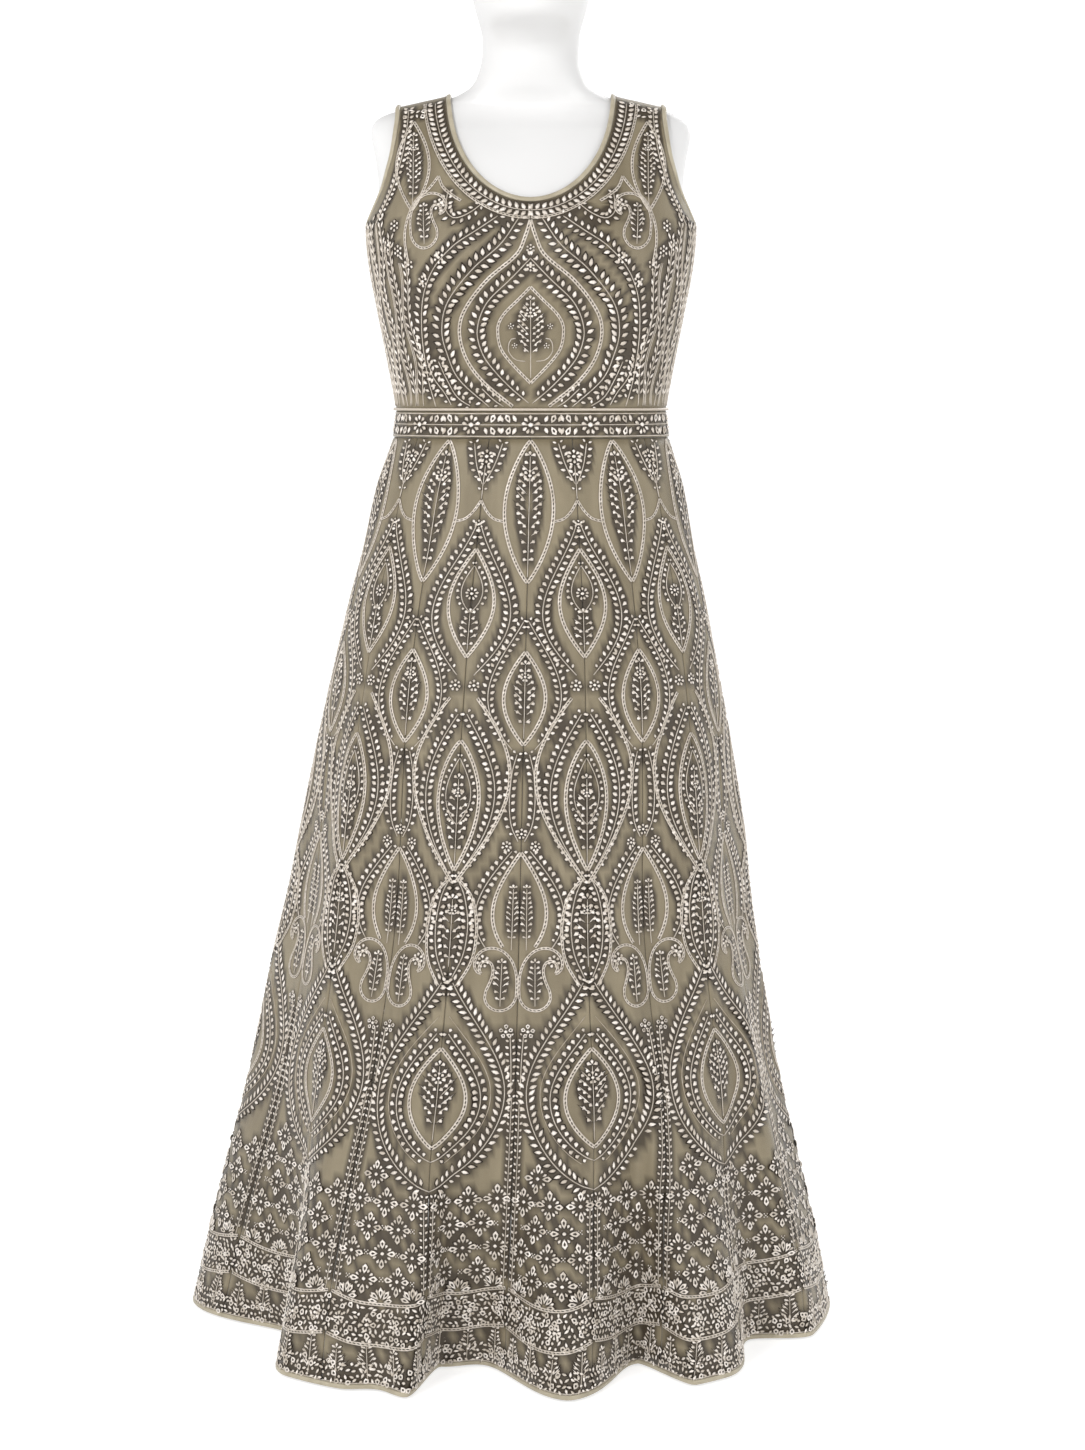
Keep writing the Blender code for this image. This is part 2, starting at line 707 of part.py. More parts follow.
def turned(profile, segments):
    """A solid turned about Z from a profile of (radius, height) that starts and ends on the axis."""
    made = bmesh.new()
    points = [made.verts.new((radius, 0, height)) for radius, height in profile]
    edges = [made.edges.new(pair) for pair in zip(points, points[1:])]
    bmesh.ops.spin(
        made, geom=points + edges, cent=(0, 0, 0), axis=(0, 0, 1),
        angle=math.tau, steps=segments, use_merge=True, use_duplicate=False,
    )
    bmesh.ops.remove_doubles(made, verts=made.verts, dist=1e-6)
    bmesh.ops.recalc_face_normals(made, faces=made.faces)
    return made


def stand():
    """The round base plate and the pole that carries the form."""
    inset = BASE_RADIUS - BASE_EDGE
    plate = [(0, 0), (inset, 0), (BASE_RADIUS, BASE_EDGE), (BASE_RADIUS, BASE_HEIGHT - BASE_EDGE)]
    plate += [(inset, BASE_HEIGHT), (0, BASE_HEIGHT)]
    new_object("stand_base", turned(plate, BASE_SEGMENTS), STAND_WHITE, 0.4)
    foot, head = BASE_HEIGHT + SEAM_GAP, FORM_BOTTOM - SEAM_GAP
    pole = [(0, foot), (POLE_RADIUS, foot), (POLE_RADIUS, head), (0, head)]
    new_object("stand_pole", turned(pole, POLE_SEGMENTS), STAND_WHITE, 0.3)


def build():
    """Clears the scene and builds the gown, the form and the stand."""
    for old in list(bpy.data.objects):
        bpy.data.objects.remove(old)
    bodice_front()
    bodice_backs()
    neck_and_armhole_bindings()
    waistband()
    skirt_panels()
    hem_bindings()
    dress_form()
    stand()


build()
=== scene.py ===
"""The looks of a sleeveless anarkali gown on its dress form: cloth, silver needlework, form, stand, studio.

Metres, +Z up, the front towards -Y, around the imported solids. The cloth pieces are thin shells on the
solids' own sections. Needlework is laid on charts of those shells, from formulas, never from a picture.
"""

from __future__ import annotations

import json
import logging
import math
from dataclasses import dataclass, field
from enum import Enum
from typing import Callable, Sequence

import bmesh
import bpy
import numpy as np
from mathutils.kdtree import KDTree
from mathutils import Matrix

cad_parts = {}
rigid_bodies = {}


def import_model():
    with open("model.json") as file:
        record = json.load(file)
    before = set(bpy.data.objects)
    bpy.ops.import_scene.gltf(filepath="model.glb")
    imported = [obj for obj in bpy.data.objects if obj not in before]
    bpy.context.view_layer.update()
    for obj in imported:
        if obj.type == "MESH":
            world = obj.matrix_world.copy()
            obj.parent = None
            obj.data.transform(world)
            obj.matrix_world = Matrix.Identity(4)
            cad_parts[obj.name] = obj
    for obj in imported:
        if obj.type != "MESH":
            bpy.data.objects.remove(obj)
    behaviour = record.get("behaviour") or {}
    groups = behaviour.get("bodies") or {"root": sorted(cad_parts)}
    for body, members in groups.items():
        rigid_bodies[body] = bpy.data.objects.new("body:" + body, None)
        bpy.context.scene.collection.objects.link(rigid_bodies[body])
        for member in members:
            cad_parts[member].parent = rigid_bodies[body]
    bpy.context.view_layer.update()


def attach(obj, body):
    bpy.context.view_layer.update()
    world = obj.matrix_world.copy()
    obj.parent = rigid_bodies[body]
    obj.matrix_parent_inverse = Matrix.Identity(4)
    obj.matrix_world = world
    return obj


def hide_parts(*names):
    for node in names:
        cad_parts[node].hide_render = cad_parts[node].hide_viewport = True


LOG = logging.getLogger("gown")
BODY = "root"
MM = 0.001
Array = np.ndarray
Piece = bpy.types.Object
Mesh = bpy.types.Mesh
Material = bpy.types.Material
Socket = bpy.types.NodeSocket
Pair = tuple[float, float]
Numbers = tuple[float, ...]

# Sizes that the solids have too.
SEAM_GAP = 0.3 * MM
FORM_CLEARANCE = 2.6 * MM
BODICE_WALL = 1.6 * MM
WAISTBAND_WALL = 2.2 * MM
SKIRT_WALL = 1.6 * MM
WAIST_TOP = 1.029
WAIST_BOTTOM = 1.0003
PIPING_RADIUS = 1.6 * MM
BINDING_WIDTH = 5.3 * MM
BINDING_WALL = 2.4 * MM
HEM_BINDING_HEIGHT = 5.0 * MM
HEM_BINDING_WALL = 3.2 * MM
HEM_LIFT = 2.5 * MM
NECK_HALF_WIDTH = 0.094
SHOULDER_TIP_X = 0.145
FRONT_NECK_Z = 1.255
BACK_NECK_Z = 1.318
UNDERARM_Z = 1.234
ARM_CENTRE = (0.185, 0.0, 1.3)
PANELS = 20
HEM_SIDE_LEAN = -0.023
FOLD_GROWTH = 1.35
BODICE_COLUMNS = 9
SHOULDER_ZONE = (1.345, 1.385)
BASE_RADIUS = 0.16
BASE_HEIGHT = 8 * MM
POLE_RADIUS = 12.5 * MM
FORM_BOTTOM = 0.77
HEM_TOP = HEM_LIFT + HEM_BINDING_HEIGHT + SEAM_GAP
SKIRT_DROP = 1.036

BUST_POINT = (0.082, 1.19)
BUST_SPREAD = (0.05, 0.048)
BUST_RISE = 13 * MM

# Level sections: height, half width, depth in front, depth behind, where the sides stand, squareness.
FORM_SECTIONS = np.array((
    (0.77, 0.128, 0.09, 0.098, 0.01, 2.0),
    (0.79, 0.152, 0.106, 0.118, 0.01, 2.0),
    (0.83, 0.166, 0.114, 0.132, 0.009, 2.0),
    (0.88, 0.166, 0.114, 0.134, 0.008, 2.0),
    (0.94, 0.159, 0.11, 0.12, 0.006, 2.1),
    (1.0, 0.1525, 0.106, 0.103, 0.004, 2.1),
    (1.03, 0.149, 0.104, 0.098, 0.003, 2.1),
    (1.08, 0.157, 0.109, 0.1, 0.002, 2.15),
    (1.14, 0.1685, 0.119, 0.107, 0.001, 2.2),
    (1.195, 0.1785, 0.124, 0.115, 0.0, 2.2),
    (1.235, 0.1815, 0.118, 0.119, 0.001, 2.2),
    (1.277, 0.1715, 0.101, 0.117, 0.003, 2.2),
    (1.31, 0.175, 0.084, 0.106, 0.006, 2.2),
    (1.338, 0.18, 0.066, 0.088, 0.01, 2.2),
    (1.352, 0.177, 0.054, 0.072, 0.012, 2.2),
    (1.362, 0.161, 0.048, 0.062, 0.013, 2.1),
    (1.37, 0.128, 0.046, 0.058, 0.013, 2.0),
    (1.378, 0.093, 0.047, 0.056, 0.011, 2.0),
    (1.39, 0.069, 0.05, 0.055, 0.007, 2.0),
    (1.408, 0.058, 0.053, 0.056, 0.002, 2.0),
    (1.43, 0.054, 0.055, 0.058, -0.006, 2.0),
    (1.446, 0.0545, 0.068, 0.062, -0.012, 2.0),
    (1.458, 0.0575, 0.088, 0.068, -0.016, 2.0),
    (1.475, 0.0625, 0.096, 0.077, -0.018, 2.1),
    (1.5, 0.067, 0.098, 0.088, -0.018, 2.1),
    (1.545, 0.073, 0.097, 0.099, -0.016, 2.1),
    (1.59, 0.0755, 0.092, 0.102, -0.014, 2.1),
    (1.63, 0.0715, 0.08, 0.094, -0.012, 2.0),
    (1.66, 0.059, 0.06, 0.074, -0.01, 2.0),
    (1.678, 0.04, 0.039, 0.05, -0.008, 2.0),
    (1.687, 0.018, 0.018, 0.022, -0.008, 2.0),
))

SKIRT_SECTIONS = np.array((
    (0.0, 0.372, 0.384, 0.372, 0.0, 2.15),
    (0.1, 0.352, 0.356, 0.35, 0.0, 2.12),
    (0.173, 0.337, 0.335, 0.332, 0.0, 2.1),
    (0.281, 0.312, 0.305, 0.305, 0.0, 2.1),
    (0.388, 0.289, 0.275, 0.278, 0.0, 2.05),
    (0.494, 0.266, 0.245, 0.25, 0.0, 2.0),
    (0.6, 0.247, 0.216, 0.224, 0.0, 2.0),
    (0.704, 0.2265, 0.186, 0.197, 0.001, 2.0),
    (0.808, 0.204, 0.156, 0.17, 0.002, 2.0),
    (0.877, 0.187, 0.135, 0.152, 0.003, 2.0),
    (0.945, 0.173, 0.121, 0.128, 0.004, 2.05),
    (1.0, 0.1548, 0.1083, 0.1053, 0.004, 2.1),
))

# The deep hem folds: bearing from the front, left flank, right flank, depth, start, lean of the bottom.
HEM_FOLDS = (
    (-56, 26, 18, 0.085, 0.46, 2.0),
    (-22, 6, 6, 0.014, 0.74, 0.0),
    (-11, 5.5, 17, 0.1, 0.7, -4.0),
    (-1, 10, 11, 0.062, 0.64, 0.0),
    (26, 17, 5, 0.088, 0.62, 1.5),
    (54, 17, 9, 0.058, 0.5, 0.0),
    (91, 12, 15, 0.062, 0.45, 0.0),
    (121, 15, 9, 0.082, 0.48, 1.0),
    (150, 9, 15, 0.07, 0.42, -1.0),
    (179, 15, 9, 0.088, 0.46, 1.0),
    (-151, 9, 16, 0.07, 0.44, -1.0),
    (-121, 14, 9, 0.08, 0.5, 1.0),
    (-92, 8, 10, 0.04, 0.6, 0.0),
)

# Soft troughs down every second seam: depth, width, and the shares where they rise, fill, fall, end.
SEAM_TROUGH_DEPTH = 15 * MM
SEAM_TROUGH_WIDTH = 0.95
SEAM_TROUGH_SPAN = (0.22, 0.55, 0.72, 0.96)

# How much wider than their share the front panels are, against the share of the skirt's length.
FRONT_EASE = np.array(((0.0, 0.1), (0.15, 0.1), (0.55, -0.1), (0.8, -0.12), (1.0, -0.06)))

# The armhole's distance from the middle, against its share of the height from underarm to shoulder.
ARMHOLE = np.array(
    ((0.0, 0.1812), (0.1, 0.1745), (0.31, 0.1615), (0.45, 0.1555), (0.6, 0.15), (0.85, 0.1455), (1.0, 0.145))
)

# Small creases of the skirt cloth: column, its drift by the hem, half width in columns, depth, start, end.
SMALL_CREASES = (
    (0.55, 0.1, 0.2, 1.8 * MM, 0.1, 0.6),
    (1.45, -0.1, 0.25, 2.2 * MM, 0.3, 0.85),
    (2.6, 0.05, 0.22, 2.0 * MM, 0.05, 0.48),
    (3.4, -0.05, 0.28, 2.6 * MM, 0.26, 0.8),
    (4.55, 0.12, 0.2, 1.8 * MM, 0.12, 0.66),
    (5.5, -0.12, 0.26, 2.4 * MM, 0.34, 0.92),
    (6.45, 0.06, 0.22, 2.0 * MM, 0.06, 0.55),
    (7.6, -0.08, 0.24, 2.4 * MM, 0.22, 0.78),
    (8.5, 0.1, 0.28, 2.2 * MM, 0.16, 0.7),
    (9.4, -0.06, 0.22, 2.6 * MM, 0.3, 0.9),
    (10.6, 0.08, 0.2, 1.8 * MM, 0.08, 0.52),
    (11.45, -0.1, 0.26, 2.4 * MM, 0.28, 0.82),
    (12.55, 0.06, 0.24, 2.0 * MM, 0.14, 0.62),
    (13.5, -0.12, 0.22, 2.6 * MM, 0.32, 0.88),
    (14.4, 0.1, 0.26, 2.2 * MM, 0.1, 0.58),
    (15.55, -0.06, 0.2, 1.8 * MM, 0.24, 0.76),
    (16.45, 0.08, 0.28, 2.4 * MM, 0.12, 0.64),
    (17.6, -0.1, 0.22, 2.2 * MM, 0.34, 0.86),
    (18.4, 0.06, 0.24, 2.0 * MM, 0.06, 0.5),
    (19.5, -0.08, 0.26, 2.2 * MM, 0.26, 0.8),
)


def smooth_table(rows: Array, at: Array) -> Array:
    """Reads a table between its rows, on a smooth curve that never overshoots them.

    Args:
        rows: the table, whose column 0 is the place.
        at: the places to read.

    Returns:
        One row of values for each place, without column 0.
    """
    last = len(rows) - 1
    place = np.clip(np.atleast_1d(np.asarray(at, float)), rows[0, 0], rows[last, 0])
    i = np.minimum(np.searchsorted(rows[1:, 0], place, side="left"), last - 1)
    low, high = rows[i], rows[i + 1]
    before, after = rows[np.maximum(i - 1, 0)], rows[np.minimum(i + 2, last)]
    span = (high[:, :1] - low[:, :1])
    t = (place[:, None] - low[:, :1]) / span
    rise = (high - low)[:, 1:]
    start = (high - before)[:, 1:] / (high[:, :1] - before[:, :1]) * span
    end = (after - low)[:, 1:] / (after[:, :1] - low[:, :1]) * span
    start = np.where(start * rise <= 0, 0.0, start)
    end = np.where(end * rise <= 0, 0.0, end)
    return low[:, 1:] + start * t + (3 * rise - 2 * start - end) * t**2 + (start + end - 2 * rise) * t**3


def ease(t: Array) -> Array:
    """A smooth step from 0 to 1 as t goes from 0 to 1."""
    t = np.clip(t, 0.0, 1.0)
    return t * t * (3 - 2 * t)


def unit(vectors: Array) -> Array:
    """The vectors, each made one long."""
    return vectors / np.maximum(np.linalg.norm(vectors, axis=-1, keepdims=True), 1e-12)


class Facing(Enum):
    """Which face of the body a piece is on; the value is the sign of its Y."""

    FRONT = -1
    BACK = 1


class BodyForm:
    """The dress form's surface, worked out from its level sections."""

    STEP = 0.2 * MM

    @staticmethod
    def section(z: Array) -> Array:
        """Half width, front, back, side y and squareness at each height."""
        return smooth_table(FORM_SECTIONS, z)

    @staticmethod
    def bust(x: Array, z: Array) -> Array:
        """How far the bust stands proud of the plain section."""
        across = (np.abs(x) - BUST_POINT[0]) / BUST_SPREAD[0]
        up = (z - BUST_POINT[1]) / BUST_SPREAD[1]
        return BUST_RISE * np.exp(-(across**2) - up**2)

    @classmethod
    def point(cls, x: Array, z: Array, facing: Facing) -> Array:
        """The points of the front or back at distances from the middle and heights."""
        x, z = np.broadcast_arrays(np.asarray(x, float), np.asarray(z, float))
        half, front, back, side, square = cls.section(z.ravel()).T.reshape(5, *z.shape)
        share = np.minimum(1.0, np.abs(x) / half)
        inside = (1 - share**square) ** (1 / square)
        depth = (front + cls.bust(x, z)) * inside if facing is Facing.FRONT else back * inside
        return np.stack((x, side + facing.value * depth, z), axis=-1)

    @classmethod
    def level(cls, points: Array) -> Array:
        """Nought on the surface, more outside it and less inside."""
        x, y, z = points[..., 0], points[..., 1], points[..., 2]
        half, front, back, side, square = cls.section(z.ravel()).T.reshape(5, *z.shape)
        away = y - side
        depth = np.where(away < 0, front + cls.bust(x, z), back)
        return (np.abs(x) / half) ** square + (np.abs(away) / depth) ** square - 1

    @classmethod
    def normal(cls, points: Array) -> Array:
        """The outward direction at points of the surface."""
        slopes = []
        for axis in range(3):
            aside = np.zeros(3)
            aside[axis] = cls.STEP
            slopes.append(cls.level(points + aside) - cls.level(points - aside))
        return unit(np.stack(slopes, axis=-1))

    @classmethod
    def lifted(cls, points: Array, clearance: float | Array) -> Array:
        """Points near the surface, moved to a distance off it."""
        for _ in range(4):
            normal = cls.normal(points)
            slope = cls.level(points + normal * cls.STEP) - cls.level(points - normal * cls.STEP)
            slope = slope / (2 * cls.STEP)
            points = points + normal * (clearance - cls.level(points) / slope)[..., None]
        return points

    @classmethod
    def shoulder(cls, x: Array) -> Array:
        """The height of the shoulder ridge at distances from the middle."""
        heights = np.linspace(SHOULDER_ZONE[0], SHOULDER_ZONE[1], 400)
        widths = cls.section(heights)[:, 0]
        x = np.clip(np.abs(x), NECK_HALF_WIDTH, SHOULDER_TIP_X)
        return np.interp(-x, -widths, heights)


class SkirtForm:
    """The skirt's folded rings, worked out from its level sections, folds and troughs."""

    SAMPLES = 1800

    @staticmethod
    def bump(offset: Array, left: float, right: float) -> Array:
        """How much of a fold's depth shows at an offset: 1 at its bottom, 0 past its flanks."""
        t = offset / np.where(offset > 0, right, left)
        return 0.5 + 0.5 * np.cos(np.pi * np.minimum(1.0, np.abs(t)))

    @classmethod
    def ring(cls, z: float) -> tuple[Array, Array]:
        """The folded section at a height.

        Args:
            z: the height.

        Returns:
            Its points, the last one on the first, and the length along them from the front.
        """
        half, front, back, side, square = smooth_table(SKIRT_SECTIONS, z)[0]
        share = 1 - z / WAIST_BOTTOM
        turn = math.tau * np.arange(cls.SAMPLES + 1) / cls.SAMPLES
        s, c = np.sin(turn), np.cos(turn)
        power = 2 / square
        x = np.sign(s) * np.abs(s) ** power * half
        y = side - np.sign(c) * np.abs(c) ** power * np.where(c >= 0, front, back)
        bearing = np.degrees(np.arctan2(x, -y))
        drawn, aside = np.zeros_like(x), np.zeros_like(x)
        for place, left, right, depth, start, lean in HEM_FOLDS:
            if share <= start:
                continue
            offset = (bearing - place + 180) % 360 - 180
            grown = ((share - start) / (1 - start)) ** FOLD_GROWTH * cls.bump(offset, left, right)
            drawn += depth * grown
            aside += lean * grown
        rise, full, fall, end = SEAM_TROUGH_SPAN
        strength = ease((share - rise) / (full - rise)) * (1 - ease((share - fall) / (end - fall)))
        spacing = 720 / PANELS
        offset = (bearing + spacing / 2) % spacing - spacing / 2
        trough = cls.bump(offset, spacing / 2 * SEAM_TROUGH_WIDTH, spacing / 2)
        reach = np.hypot(x, y) - drawn - SEAM_TROUGH_DEPTH * strength * trough
        swung = np.radians(bearing + aside)
        lean_x = HEM_SIDE_LEAN * share
        points = np.stack((lean_x + reach * np.sin(swung), -reach * np.cos(swung), np.full_like(x, z)),
                          axis=-1)
        lengths = np.concatenate(([0.0], np.cumsum(np.linalg.norm(np.diff(points, axis=0), axis=1))))
        return points, lengths

    @classmethod
    def along(cls, z: float, columns: Array) -> tuple[Array, Array]:
        """Points and outward level normals of a ring at panel columns, counted from the front."""
        points, lengths = cls.ring(z)
        share = 1 - z / WAIST_BOTTOM
        widening = smooth_table(FRONT_EASE, share)[0, 0]
        turn = np.asarray(columns) / PANELS
        target = ((turn + widening * np.sin(math.tau * turn) / math.tau) % 1.0) * lengths[-1]
        found = np.stack([np.interp(target, lengths, points[:, k]) for k in range(3)], axis=-1)
        reach = 4 * MM
        ahead = np.stack([np.interp((target + reach) % lengths[-1], lengths, points[:, k]) for k in range(3)],
                         -1)
        behind = np.stack([np.interp((target - reach) % lengths[-1], lengths,
                                     points[:, k]) for k in range(3)], -1)
        onward = unit(ahead - behind)
        return found, np.stack((onward[:, 1], -onward[:, 0], np.zeros(len(onward))), axis=-1)


def small_crease(columns: Array, share: Array) -> Array:
    """How far the small creases draw the skirt cloth in."""
    total = np.zeros(np.broadcast_shapes(np.shape(columns), np.shape(share)))
    for place, drift, half, depth, start, end in SMALL_CREASES:
        run = np.clip((share - start) / (end - start), 0, 1)
        offset = (columns - place - drift * run + PANELS / 2) % PANELS - PANELS / 2
        total = total + depth * np.sin(np.pi * run) ** 2 * np.exp(-((offset / half) ** 2))
    return total


class Chart:
    """A face of cloth that needlework is laid on, read by two coordinates: across and down."""

    def __init__(self, across: Array, down: Array, points: Array) -> None:
        """Keeps an evenly spaced grid of points.

        Args:
            across: the evenly spaced coordinates of the grid's columns.
            down: the evenly spaced coordinates of its rows.
            points: rows by columns by three.
        """
        self.start = np.array((across[0], down[0]))
        self.step = np.array((across[1] - across[0], down[1] - down[0]))
        self.points = points
        self.by_across = np.gradient(points, axis=1) / self.step[0]
        self.by_down = np.gradient(points, axis=0) / self.step[1]
        self.normals = unit(np.cross(self.by_down, self.by_across))

    def read(self, grid: Array, at: Array) -> Array:
        """The grid's values at coordinates (across, down), between its nearest four points."""
        place = (at - self.start) / self.step
        rows, columns = grid.shape[:2]
        c = np.clip(place[:, 0], 0, columns - 1.001)
        r = np.clip(place[:, 1], 0, rows - 1.001)
        i, j = r.astype(int), c.astype(int)
        fr, fc = (r - i)[:, None], (c - j)[:, None]
        top = grid[i, j] * (1 - fc) + grid[i, j + 1] * fc
        bottom = grid[i + 1, j] * (1 - fc) + grid[i + 1, j + 1] * fc
        return top * (1 - fr) + bottom * fr

    def place(self, at: Array) -> Array:
        """The points at coordinates (across, down)."""
        return self.read(self.points, at)

    def frame(self, at: Array) -> tuple[Array, Array, Array, Array]:
        """Points, and the directions across, down and outwards, each one long."""
        normal = unit(self.read(self.normals, at))
        right = self.read(self.by_across, at)
        right = unit(right - normal * np.sum(right * normal, axis=1, keepdims=True))
        return self.place(at), right, np.cross(right, normal), normal

    def scale(self, at: Array) -> Array:
        """Metres for one unit across and one unit down, at coordinates."""
        across = np.linalg.norm(self.read(self.by_across, at), axis=1)
        down = np.linalg.norm(self.read(self.by_down, at), axis=1)
        return np.stack((across, down), axis=-1)

    def beside(self, at: Array, right: Array | float, down: Array | float) -> Array:
        """Coordinates a number of metres to the right of and below other coordinates."""
        scale = self.scale(at)
        return at + np.stack(np.broadcast_arrays(right / scale[:, 0], down / scale[:, 1]), axis=-1)


class Charts:
    """The charts of the gown's three faces."""

    COLUMN_SAMPLES = 26
    SKIRT_ROWS = 280
    BODICE_TOP = 1.385
    BODICE_STEP = 2 * MM
    ARC_REACH = 0.31

    def __init__(self) -> None:
        """Works the charts out once, for all the needlework."""
        self.skirt = self._skirt()
        self.bodice = {facing: self._bodice(facing) for facing in Facing}

    def _skirt(self) -> Chart:
        """The outer face of the skirt: columns from the front, and the share of its length."""
        margin = 1
        across = np.arange(-margin * self.COLUMN_SAMPLES, (PANELS + margin) * self.COLUMN_SAMPLES + 1)
        across = across / self.COLUMN_SAMPLES
        down = np.linspace(0.0, 1 - HEM_LIFT / WAIST_BOTTOM, self.SKIRT_ROWS)
        rows = []
        for share in down:
            points, normals = SkirtForm.along((1 - share) * WAIST_BOTTOM, across)
            inwards = small_crease(across, np.full(len(across), share))
            rows.append(points + normals * (SKIRT_WALL / 2 - inwards)[:, None])
        return Chart(across, down, np.stack(rows))

    def _bodice(self, facing: Facing) -> Chart:
        """The outer face of the bodice: metres round from the middle, and metres below its top."""
        down = np.arange(0.0, self.BODICE_TOP - WAIST_BOTTOM + self.BODICE_STEP, self.BODICE_STEP)
        arcs = np.arange(-self.ARC_REACH, self.ARC_REACH + 1e-9, self.BODICE_STEP)
        turns = np.sin(np.linspace(-np.pi / 2, np.pi / 2, 181))
        rows = []
        for depth in down:
            z = self.BODICE_TOP - depth
            half = BodyForm.section(z)[0, 0]
            points = BodyForm.point(half * turns * 0.99999, z, facing)
            if facing is Facing.BACK:
                points = points[::-1]
            points = points + BodyForm.normal(points) * (FORM_CLEARANCE + BODICE_WALL)
            lengths = np.concatenate(([0.0], np.cumsum(np.linalg.norm(np.diff(points, axis=0), axis=1))))
            lengths -= lengths[-1] / 2
            rows.append(np.stack([np.interp(arcs, lengths, points[:, k]) for k in range(3)], axis=-1))
        return Chart(arcs, down, np.stack(rows))


def new_piece(name: str, mesh: Mesh, material: Material) -> Piece:
    """Makes a mesh a piece of the gown's one body.

    Args:
        name: the piece's name.
        mesh: its mesh, in place.
        material: its finish.

    Returns:
        The object.
    """
    mesh.materials.append(material)
    piece = bpy.data.objects.new(name, mesh)
    bpy.context.scene.collection.objects.link(piece)
    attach(piece, BODY)
    LOG.info("%s: %d faces", name, len(mesh.polygons))
    return piece


def draped_grid(name: str, points: Array, uv: Array | None = None, outward: Array | None = None) -> Mesh:
    """A grid of faces, each of whose corners is laid at a point.

    Args:
        name: the mesh's name.
        points: rows by columns by three.
        uv: rows by columns by two, in metres of cloth.
        outward: a direction for each point that the faces should look along.

    Returns:
        The mesh, smooth shaded.
    """
    rows, columns = points.shape[:2]
    made = bmesh.new()
    bmesh.ops.create_grid(made, x_segments=columns - 1, y_segments=rows - 1, size=1)
    mesh = bpy.data.meshes.new(name)
    made.to_mesh(mesh)
    made.free()
    flat = np.empty(len(mesh.vertices) * 3)
    mesh.vertices.foreach_get("co", flat)
    flat = flat.reshape(-1, 3)
    column = np.rint((flat[:, 0] + 1) / 2 * (columns - 1)).astype(int)
    row = np.rint((flat[:, 1] + 1) / 2 * (rows - 1)).astype(int)
    placed = points[row, column]
    mesh.vertices.foreach_set("co", placed.ravel())
    if uv is not None:
        corners = np.empty(len(mesh.loops), np.int32)
        mesh.loops.foreach_get("vertex_index", corners)
        layer = mesh.uv_layers.new(name="cloth")
        layer.data.foreach_set("uv", uv[row, column][corners].ravel())
    mesh.update()
    if outward is not None:
        ways = outward[row, column]
        if sum(face.area * face.normal.dot(ways[face.vertices[0]].tolist()) for face in mesh.polygons) < 0:
            mesh.flip_normals()
    mesh.shade_smooth()
    return mesh


def walled(piece: Piece, thickness: float) -> Piece:
    """Gives a sheet its thickness, inwards from its outer face."""
    wall = piece.modifiers.new("wall", "SOLIDIFY")
    wall.thickness = thickness
    wall.offset = -1
    return piece


def tube(name: str, stations: Array, sharp_degrees: float = 60) -> Mesh:
    """A closed bar through sections of the same number of points.

    Args:
        name: the mesh's name.
        stations: stations by points by three.
        sharp_degrees: edges sharper than this stay sharp.

    Returns:
        The mesh, smooth shaded.
    """
    made = bmesh.new()
    section = bmesh.ops.create_circle(made, segments=stations.shape[1], radius=1, cap_ends=True)["verts"]
    for vert, place in zip(section, stations[0]):
        vert.co = place
    edges = list({edge for vert in section for edge in vert.link_edges})
    first = section
    for station in stations[1:]:
        grown = bmesh.ops.extrude_edge_only(made, edges=edges)["geom"]
        verts = [g for g in grown if isinstance(g, bmesh.types.BMVert)]
        edges = [g for g in grown if isinstance(g, bmesh.types.BMEdge)]
        ordered = _matched(first, verts)
        for vert, place in zip(ordered, station):
            vert.co = place
        first = ordered
    bmesh.ops.contextual_create(made, geom=edges)
    bmesh.ops.recalc_face_normals(made, faces=made.faces)
    mesh = bpy.data.meshes.new(name)
    made.to_mesh(mesh)
    made.free()
    mesh.shade_smooth()
    mesh.set_sharp_from_angle(angle=math.radians(sharp_degrees))
    return mesh


def _matched(first: Sequence[bmesh.types.BMVert], grown: Sequence[bmesh.types.BMVert]) -> list:
    """The grown corners, in the order of the corners that they were extruded from."""
    new = set(grown)
    ordered = []
    for vert in first:
        for edge in vert.link_edges:
            other = edge.other_vert(vert)
            if other in new:
                ordered.append(other)
    return ordered


